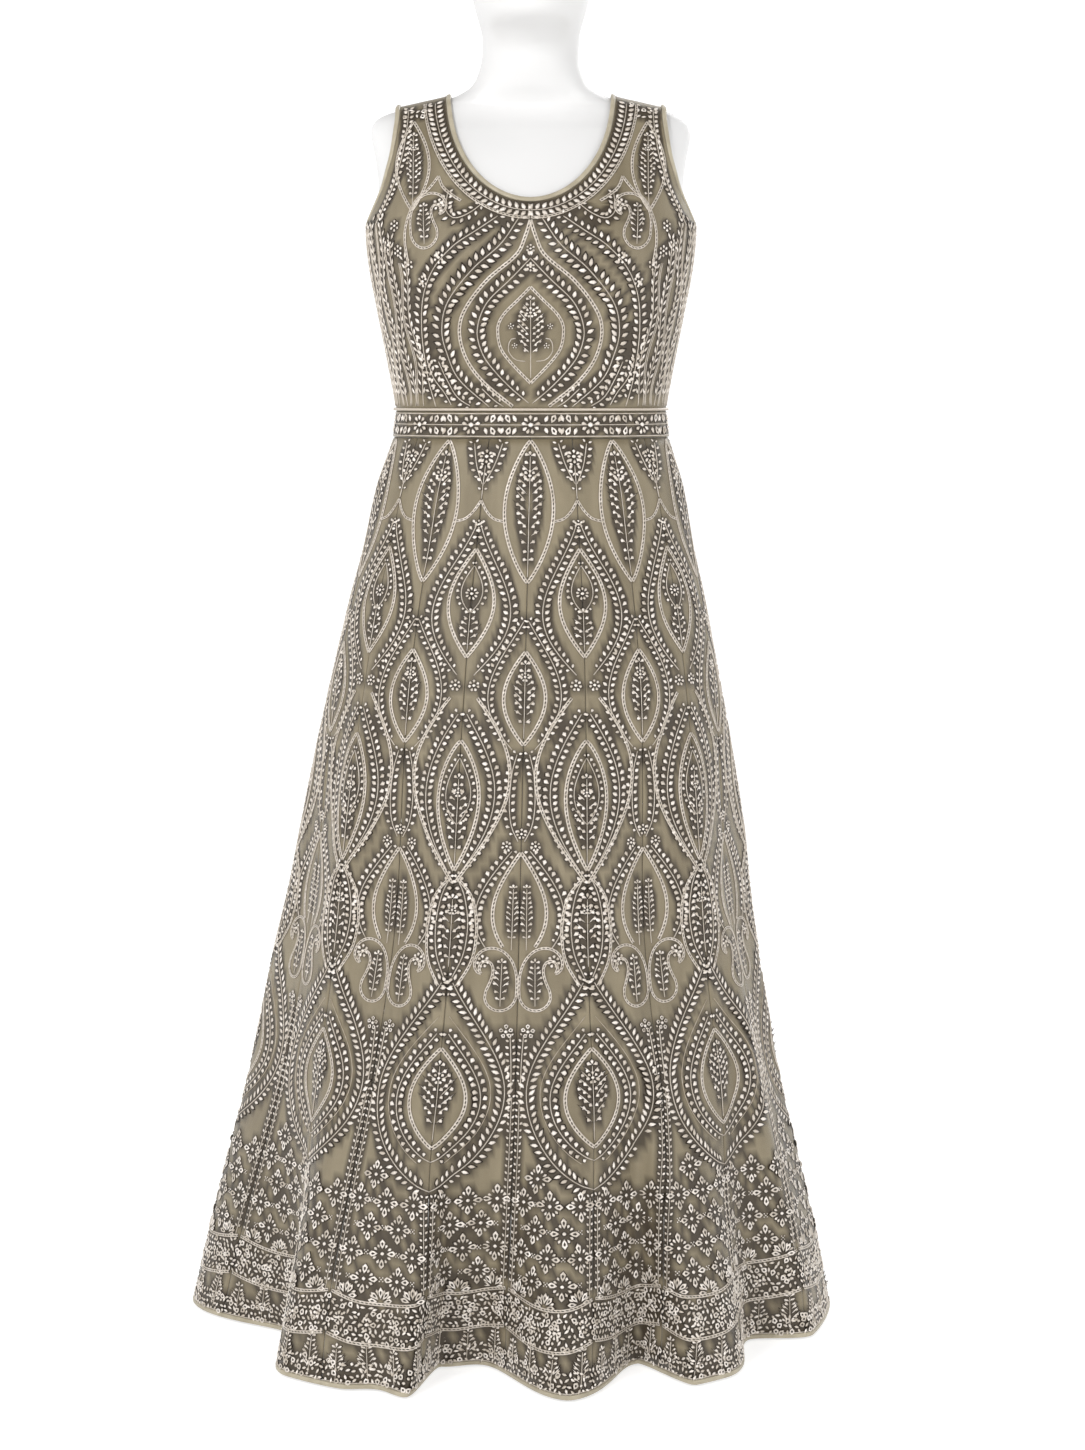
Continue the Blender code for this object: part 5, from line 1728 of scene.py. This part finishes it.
@dataclass
class BodiceNeedlework:
    """Silver work on the bodice and waistband of one face of the body."""

    charts: Charts
    facing: Facing
    wardrobe: Wardrobe
    edge_clear: float = 2.2 * MM

    # Height below the chart's top and distance from the middle, down one side of each figure.
    OGEE: tuple = ((0.15, 0.0), (0.168, 0.006), (0.186, 0.015), (0.213, 0.048), (0.245, 0.073),
                   (0.268, 0.079), (0.298, 0.071), (0.324, 0.051), (0.351, 0.018))
    LEAF_BAND: tuple = ((0.19, 0.0), (0.21, 0.02), (0.237, 0.048), (0.268, 0.059), (0.292, 0.053),
                        (0.308, 0.042), (0.329, 0.022), (0.346, 0.002))
    INNER: tuple = ((0.22, 0.0), (0.232, 0.012), (0.25, 0.03), (0.264, 0.036), (0.285, 0.033), (0.301, 0.022),
                    (0.324, 0.0))
    NEAR_SPRAY: tuple = ((0.148, 0.013), (0.176, 0.033), (0.201, 0.063), (0.237, 0.093), (0.268, 0.1),
                         (0.292, 0.094), (0.319, 0.081), (0.35, 0.046))
    CHEST_ARCH: tuple = (
        ((0.101, 0.112, 0.127, 0.1365, 0.1375, 0.134), (1.284, 1.27, 1.256, 1.232, 1.212, 1.19)),
        ((0.101, 0.096, 0.085, 0.076), (1.284, 1.272, 1.262, 1.256)),
    )
    CHEST_SPRAYS: tuple = (
        ((0.048, 0.128), (0.066, 0.142), (0.083, 0.148), (0.094, 0.138), (0.092, 0.12)),
        ((0.088, 0.352), (0.098, 0.335), (0.112, 0.318), (0.12, 0.298)),
        ((0.06, 0.353), (0.082, 0.34), (0.095, 0.32), (0.105, 0.3)),
        ((0.026, 0.352), (0.04, 0.343), (0.054, 0.33)),
    )
    FAR_SPRAY: tuple = ((0.146, 0.036), (0.162, 0.06), (0.177, 0.084), (0.201, 0.11), (0.228, 0.123),
                        (0.267, 0.126), (0.32, 0.119), (0.35, 0.11))

    def __post_init__(self) -> None:
        """Finds the chart, the neck's lowest point and the shoulder's height."""
        self.chart = self.charts.bodice[self.facing]
        self.neck_z = FRONT_NECK_Z if self.facing is Facing.FRONT else BACK_NECK_Z
        self.neck_top = float(BodyForm.shoulder(np.array([NECK_HALF_WIDTH]))[0])
        self.arm_top = float(BodyForm.shoulder(np.array([SHOULDER_TIP_X]))[0])

    def spot(self, x: Array, z: Array) -> Array:
        """Chart coordinates of distances from the middle, with their sign, and heights."""
        x, z = np.broadcast_arrays(np.asarray(x, float), np.asarray(z, float))
        down = Charts.BODICE_TOP - z
        rows = np.clip(np.rint(down / self.chart.step[1]).astype(int), 0, len(self.chart.points) - 1)
        middle = self.chart.points.shape[1] // 2
        arcs = self.chart.step[0] * np.arange(middle + 1)
        found = [np.interp(abs(v), np.abs(self.chart.points[r, middle:, 0]), arcs) for v, r in zip(x, rows)]
        return np.stack((np.sign(x) * np.array(found), down), axis=-1)

    def on_bodice(self, points: Array) -> Array:
        """Which points lie on this face's cloth, clear of its edges."""
        x, y, z = np.abs(points[:, 0]), points[:, 1], points[:, 2]
        clear = self.edge_clear
        rise = np.clip((z + clear - self.neck_z) / (self.neck_top - self.neck_z), 0, 1)
        in_neck = (rise > 0) & (x < NECK_HALF_WIDTH * np.sqrt(1 - (1 - rise) ** 2) + clear)
        lift = np.clip((z - UNDERARM_Z) / (self.arm_top - UNDERARM_Z), 0, 1)
        past_arm = (z > UNDERARM_Z) & (x > smooth_table(ARMHOLE, lift)[:, 0] - clear)
        over = z > BodyForm.shoulder(x) - clear
        return ~in_neck & ~past_arm & ~over & self.on_face(points) & (z > WAIST_TOP + 3.4 * PIPING_RADIUS)

    def on_face(self, points: Array) -> Array:
        """Which points lie on this half of the body, clear of its side seams."""
        side = BodyForm.section(points[:, 2])[:, 3]
        return self.facing.value * (points[:, 1] - side) > 1.2 * MM

    @staticmethod
    def side(table: tuple, hand: int, count: int = 48) -> Array:
        """One side of a figure, from its top down, as chart coordinates."""
        rows = np.array(table)
        down = np.linspace(rows[0, 0], rows[-1, 0], count)
        return np.stack((hand * smooth_table(rows, down)[:, 0], down), axis=-1)

    def neck_band(self, needle: Needle) -> None:
        """Two rows of slanting leaves between cords, all round the neck."""
        ups = np.linspace(0, 0.985, 60)
        x, z = Bodice.strap(np.zeros(len(ups)), ups, self.neck_z)
        for hand in (-1, 1):
            line = self.spot(hand * np.maximum(x, 1e-6), z)
            places, heading = needle.even(line, 3.0 * MM)
            wide = (19 * MM + 7 * MM * np.linspace(0, 1, len(places)) ** 0.7)[:, None]
            for share, cord in ((0.1, Cord.single()), (0.53, Cord.single()), (1.0, Cord.double(3.8 * MM))):
                reach = hand * wide[:, 0] * share
                needle.lay(self.chart.beside(places, reach * np.cos(heading), reach * np.sin(heading)), cord)
            for share, lean in ((0.32, -55), (0.77, 50)):
                reach = hand * wide[:, 0] * share
                row = self.chart.beside(places, reach * np.cos(heading), reach * np.sin(heading))
                spots, way = needle.even(row, 7.6 * MM)
                needle.sew(LEAF, spots, way + math.radians(lean * hand), (10.2 * MM, 5.3 * MM), centred=True)

    def armhole_row(self, needle: Needle) -> None:
        """A leaf row beside each armhole."""
        ups = np.linspace(0.04, 0.97, 40)
        x, z = Bodice.strap(np.full(len(ups), float(BODICE_COLUMNS)), ups, self.neck_z)
        for hand in (-1, 1):
            line = self.spot(hand * (x - 8.5 * MM), z)
            needle.vine(line, 7.4 * MM, (6.8 * MM, 4.4 * MM), 46, stem=Cord.single(), taper=0.0)

    def centre(self, needle: Needle) -> None:
        """The big beaded ogee, its leaf band, and the small ogee with a flowering tree in it."""
        for hand in (-1, 1):
            needle.lay(self.side(self.OGEE, hand), Cord.double())
            needle.vine(self.side(self.LEAF_BAND, hand)[::-1], 8.0 * MM, (9.6 * MM, 5.0 * MM), 56,
                        stem=Cord.single(), foot=1.4 * MM)
            needle.lay(self.side(self.INNER, hand), Cord.double(4.0 * MM))
            needle.vine(self.side(self.NEAR_SPRAY, hand)[::-1], 8.8 * MM, (11.0 * MM, 5.2 * MM), 52,
                        stem=Cord.single(), foot=1.4 * MM)
            needle.vine(self.side(self.FAR_SPRAY, hand)[::-1], 8.4 * MM, (9.6 * MM, 4.8 * MM), 52,
                        stem=Cord.single(), foot=1.4 * MM)
            hook = np.array(((0.006, 0.3), (0.017, 0.298), (0.0245, 0.288), (0.0225, 0.277), (0.0165, 0.275)))
            needle.lay(flowing(hook * (hand, 1)), Cord.single())
            needle.flower([(0.0215 * hand, 0.262), (0.0175 * hand, 0.283)], 4.0 * MM, 5)
        needle.tree((0, 0.318), (0, 0.234), 19 * MM, 6.6 * MM, (4.8 * MM, 4.6 * MM), 50, 0.42, 0.24, 7.0 * MM)
        needle.flower([(0, 0.199), (0, 0.18)], 6.0 * MM, 6)

    def upper(self, needle: Needle) -> None:
        """The paisleys, the medallions on the straps and small flowers between them."""
        for hand in (-1, 1):
            body = self.spot(np.array([0.1165 * hand]), np.array([1.2225]))[0]
            needle.paisley(tuple(body), 52 * MM, 17.5 * MM, -hand)
            for x, z in self.CHEST_ARCH:
                line = flowing(self.spot(hand * np.array(x), np.array(z)))
                needle.lay(line, Cord.double(4.0 * MM))
            corner = np.stack(np.meshgrid((0.112, 0.119, 0.126, 0.133, 0.14), (1.352, 1.359, 1.366)),
                              -1).reshape(-1, 2)
            needle.scatter(self.spot(hand * corner[:, 0], corner[:, 1]))
            heights = np.linspace(1.346, 1.247, 40)
            share = np.linspace(0, 1, 40)
            swing = 0.0185 * np.sin(np.pi * share) ** 0.9
            for way in (-1, 1):
                needle.lay(self.spot(hand * (0.13 + way * swing), heights), Cord.double(4.2 * MM))
            foot, top = self.spot(np.array((0.13, 0.13)) * hand, np.array((1.253, 1.33)))
            needle.tree(tuple(foot), tuple(top), 12.5 * MM, 6.6 * MM, (4.6 * MM, 4.4 * MM), crown=5.0 * MM)
            blooms = self.spot(
                hand * np.array((0.15, 0.146, 0.1575, 0.134, 0.118, 0.1)),
                np.array((1.232, 1.205, 1.212, 1.19, 1.172, 1.196)),
            )
            needle.flower(blooms, 8.0 * MM, 6)
            for points in self.CHEST_SPRAYS:
                line = flowing(np.array(points) * (hand, 1))
                needle.vine(line, 8.2 * MM, (8.0 * MM, 4.4 * MM), 52, stem=Cord.single(), foot=1.4 * MM)
        if self.facing is Facing.BACK:
            needle.tree((0, 0.146), (0, 0.096), 20 * MM, 6.4 * MM, (6.4 * MM, 4.8 * MM), 50, crown=6.5 * MM)
            for hand in (-1, 1):
                for shift in (0.0, 0.024):
                    row = np.array(((0.022 + shift, 0.146), (0.04 + shift, 0.128), (0.068 + shift, 0.106)))
                    needle.vine(flowing(row * (hand, 1)), 8.0 * MM, (8.4 * MM, 4.6 * MM), 52,
                                stem=Cord.single())

    def sides(self, needle: Needle) -> None:
        """Upright leaf rows and threads down the sides of the bodice."""
        for hand in (-1, 1):
            for number, share in enumerate((0.592, 0.667, 0.743, 0.818, 0.893, 0.967)):
                heights = np.linspace(1.036, 1.236 - 0.022 * max(0, 2 - number), 36)
                rows = np.rint((Charts.BODICE_TOP - heights) / self.chart.step[1]).astype(int)
                widths = np.abs(self.chart.points[rows, self.chart.points.shape[1] // 2:, 0])
                reach = np.polyval(np.polyfit(heights, self.chart.step[0] * widths.argmax(axis=1), 3),
                                   heights)
                wave = 3.0 * MM * np.sin(heights * 68 + number * 2.1)
                line = np.stack((hand * (reach * share + wave), Charts.BODICE_TOP - heights), axis=-1)
                needle.vine(line, 9.4 * MM, (9.6 * MM, 3.2 * MM), 24, foot=2.0 * MM, stem=Cord.single(),
                            taper=0.0)
                for shift in (7.6 * MM, 9.8 * MM):
                    needle.lay(line + (hand * shift, 0), Cord.single(1.3 * MM))

    def waistband(self, needle: Needle) -> None:
        """A stem with leaf pairs by turns, a round flower now and then, between beaded cords."""
        top, bottom = Charts.BODICE_TOP - WAIST_TOP, Charts.BODICE_TOP - WAIST_BOTTOM
        middle = (top + bottom) / 2
        reach = 0.235
        ring = np.linspace(-reach, reach, 160)
        for down in (top + 1.8 * MM, bottom - 1.8 * MM):
            needle.lay(np.stack((ring, np.full(160, down)), -1), Cord.single(1.8 * MM))
        needle.lay(np.stack((ring, np.full(160, middle)), -1), Cord.single(1.4 * MM))
        pitch = 0.0074
        for k in range(-31, 32):
            if k % 9 == 0:
                needle.flower([(k * pitch, middle)], 12.6 * MM, 9)
                continue
            if k % 9 in (1, 8):
                continue
            lean = math.radians(24 if (k % 9) < 5 else -24)
            for way in (-1, 1):
                foot = np.array([(k * pitch, middle + way * 1.0 * MM)])
                turn = lean if way < 0 else math.pi - lean
                needle.sew(LOOP if k % 9 in (3, 6) else LEAF, foot, turn, (9.8 * MM, 5.0 * MM))

    def make(self) -> None:
        """Sews both pieces of this face."""
        place = self.facing.name.lower()
        seed = 300 if self.facing is Facing.FRONT else 310
        needle = Needle(self.chart, seed, keep=self.on_bodice)
        self.neck_band(needle)
        self.armhole_row(needle)
        self.centre(needle)
        self.upper(needle)
        self.sides(needle)
        needle.piece(f"silver_work_bodice_{place}", self.wardrobe.thread)
        band = Needle(self.chart, seed + 1, lift=WAISTBAND_WALL - BODICE_WALL, keep=self.on_face)
        self.waistband(band)
        band.piece(f"silver_work_waistband_{place}", self.wardrobe.thread)


@dataclass
class DressForm:
    """The smooth armless form with its plain egg-shaped head, its pole and its round base."""

    wardrobe: Wardrobe
    columns: int = 96
    rows: int = 190

    def shell(self) -> Piece:
        """The form's whole skin, closed at its head and its foot."""
        heights = np.concatenate((
            np.linspace(FORM_SECTIONS[0, 0], 1.34, self.rows // 2, endpoint=False),
            np.linspace(1.34, 1.4, self.rows // 5, endpoint=False),
            np.linspace(1.4, FORM_SECTIONS[-1, 0], self.rows // 3),
        ))
        turns = np.linspace(0, math.tau, self.columns + 1)
        s, c = np.sin(turns), np.cos(turns)
        rows = []
        for z in heights:
            half, front, back, side, square = BodyForm.section(z)[0]
            power = 2 / square
            x = np.sign(s) * np.abs(s) ** power * half
            reach = np.abs(c) ** power
            proud = BodyForm.bust(x, np.full_like(x, z)) * reach
            y = np.where(c >= 0, side - front * reach - proud, side + back * reach)
            rows.append(np.stack((x, y, np.full_like(x, z)), axis=-1))
        points = np.stack(rows)
        foot = np.array((0, FORM_SECTIONS[0, 4], FORM_SECTIONS[0, 0]))
        foot_rows = [foot + (points[0] - foot) * share for share in (0.001, 0.5, 0.94)]
        crown = np.array((0, FORM_SECTIONS[-1, 4], FORM_SECTIONS[-1, 0] + 2 * MM))
        crown_rows = [crown + (points[-1] - crown) * (share, share, share * share) for share in (0.6, 0.001)]
        points = np.concatenate((np.stack(foot_rows), points, np.stack(crown_rows)))
        mesh = draped_grid("dress_form_shell", points)
        made = bmesh.new()
        made.from_mesh(mesh)
        bmesh.ops.remove_doubles(made, verts=made.verts, dist=0.05 * MM)
        ends = [e for e in made.edges if e.is_boundary]
        bmesh.ops.holes_fill(made, edges=ends, sides=0)
        bmesh.ops.recalc_face_normals(made, faces=made.faces)
        made.to_mesh(mesh)
        made.free()
        mesh.shade_smooth()
        mesh.set_sharp_from_angle(angle=math.radians(55))
        piece = new_piece(mesh.name, mesh, self.wardrobe.form)
        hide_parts("dress_form")
        return piece

    def turned(self, name: str, profile: Sequence[Pair], bevels: Sequence[int], node: str) -> None:
        """A turned piece of the stand.

        Args:
            name: the piece's name.
            profile: its radius and height at each corner, from the axis round to the axis.
            bevels: the corners that are rounded.
            node: the solid that it stands for.
        """
        made = bmesh.new()
        corners = [made.verts.new((radius, 0, height)) for radius, height in profile]
        edges = [made.edges.new(pair) for pair in zip(corners, corners[1:])]
        rounded = [corners[k] for k in bevels]
        bmesh.ops.bevel(made, geom=rounded, offset=1.2 * MM, segments=4, profile=0.5, affect="VERTICES",
                        material=-1)
        bmesh.ops.spin(
            made, geom=made.verts[:] + made.edges[:], cent=(0, 0, 0), axis=(0, 0, 1), angle=math.tau,
            steps=64, use_merge=True, use_duplicate=False,
        )
        bmesh.ops.remove_doubles(made, verts=made.verts, dist=1e-6)
        bmesh.ops.recalc_face_normals(made, faces=made.faces)
        mesh = bpy.data.meshes.new(name)
        made.to_mesh(mesh)
        made.free()
        mesh.shade_smooth()
        mesh.set_sharp_from_angle(angle=math.radians(40))
        piece = new_piece(name, mesh, self.wardrobe.stand)
        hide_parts(node)

    def make(self) -> None:
        """Builds the form and its stand."""
        self.shell()
        top = BASE_HEIGHT
        plate = [(0, 0), (BASE_RADIUS, 0), (BASE_RADIUS, top), (0, top)]
        self.turned("stand_base_plate", plate, (1, 2), "stand_base")
        foot, head = BASE_HEIGHT + SEAM_GAP, FORM_BOTTOM - SEAM_GAP
        pole = [(0, foot), (POLE_RADIUS, foot), (POLE_RADIUS, head), (0, head)]
        self.turned("stand_pole_tube", pole, (1, 2), "stand_pole")


@dataclass
class Studio:
    """The pale floor, the soft lights and the camera at the photograph's angle."""

    floor_size: float = 34.0
    floor_bend: float = 9.0
    bend_radius: float = 2.5
    camera_place: tuple[float, float, float] = (0.013, -3.2, 1.05)
    camera_dip: float = 6.78
    lens: float = 69.37

    def floor(self) -> None:
        """A wide sweep: a floor that curves up into a round wall, far from every side of the gown."""
        made = bmesh.new()
        bmesh.ops.create_grid(made, x_segments=80, y_segments=80, size=self.floor_size / 2)
        for vert in made.verts:
            reach = math.hypot(vert.co.x, vert.co.y)
            past = reach - self.floor_bend
            if past > 0:
                turn = min(past / self.bend_radius, math.pi / 2)
                kept = self.floor_bend + self.bend_radius * math.sin(turn)
                vert.co.z = self.bend_radius * (1 - math.cos(turn)) + past - self.bend_radius * turn
                vert.co.x *= kept / reach
                vert.co.y *= kept / reach
        bmesh.ops.recalc_face_normals(made, faces=made.faces)
        mesh = bpy.data.meshes.new("studio_floor")
        made.to_mesh(mesh)
        made.free()
        mesh.shade_smooth()
        mesh.materials.append(StudioFloor().make())
        floor = bpy.data.objects.new("studio_floor", mesh)
        bpy.context.scene.collection.objects.link(floor)

    @staticmethod
    def light(name: str, place: Sequence[float], aim: Sequence[float], size: float, power: float) -> None:
        """A square soft light, turned to face a point."""
        data = bpy.data.lights.new(name, "AREA")
        data.shape = "SQUARE"
        data.size = size
        data.energy = power
        lamp = bpy.data.objects.new(name, data)
        bpy.context.scene.collection.objects.link(lamp)
        lamp.location = place
        way = np.array(aim) - np.array(place)
        lamp.rotation_euler = (
            math.acos(-way[2] / np.linalg.norm(way)) if way[2] else math.pi / 2,
            0,
            math.atan2(way[1], way[0]) - math.pi / 2,
        )

    def make(self) -> None:
        """Builds the floor, the world, the lights and the camera."""
        self.floor()
        world = bpy.data.worlds.new("studio_air")
        world.use_nodes = True
        world.node_tree.nodes["Background"].inputs["Color"].default_value = (1, 1, 1, 1)
        world.node_tree.nodes["Background"].inputs["Strength"].default_value = 0.36
        bpy.context.scene.world = world
        self.light("key_light", (-1.9, -3.0, 3.1), (0, 0, 0.9), 1.1, 76)
        self.light("fill_light", (2.6, -2.6, 1.8), (0, 0, 0.8), 2.2, 20)
        self.light("back_light", (1.4, 2.4, 2.6), (0, 0, 1.0), 1.6, 34)
        data = bpy.data.cameras.new("camera")
        data.lens = self.lens
        data.sensor_width = 36
        camera = bpy.data.objects.new("camera", data)
        camera.location = self.camera_place
        camera.rotation_euler = (math.radians(90 - self.camera_dip), 0, 0)
        bpy.context.scene.collection.objects.link(camera)
        bpy.context.scene.camera = camera
        bpy.context.scene.view_settings.view_transform = "Standard"


def main() -> None:
    """Builds the gown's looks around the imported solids."""
    logging.basicConfig(level=logging.INFO, format="%(name)s %(message)s")
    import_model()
    Studio().make()
    wardrobe = Wardrobe()
    charts = Charts()
    DressForm(wardrobe).make()
    Bodice(wardrobe).make()
    Skirt(charts.skirt, wardrobe).make()
    SkirtNeedlework(charts.skirt, wardrobe).make()
    for facing in Facing:
        BodiceNeedlework(charts, facing, wardrobe).make()
    paint_stitch_crowd_shade()


if __name__ == "__main__":
    main()
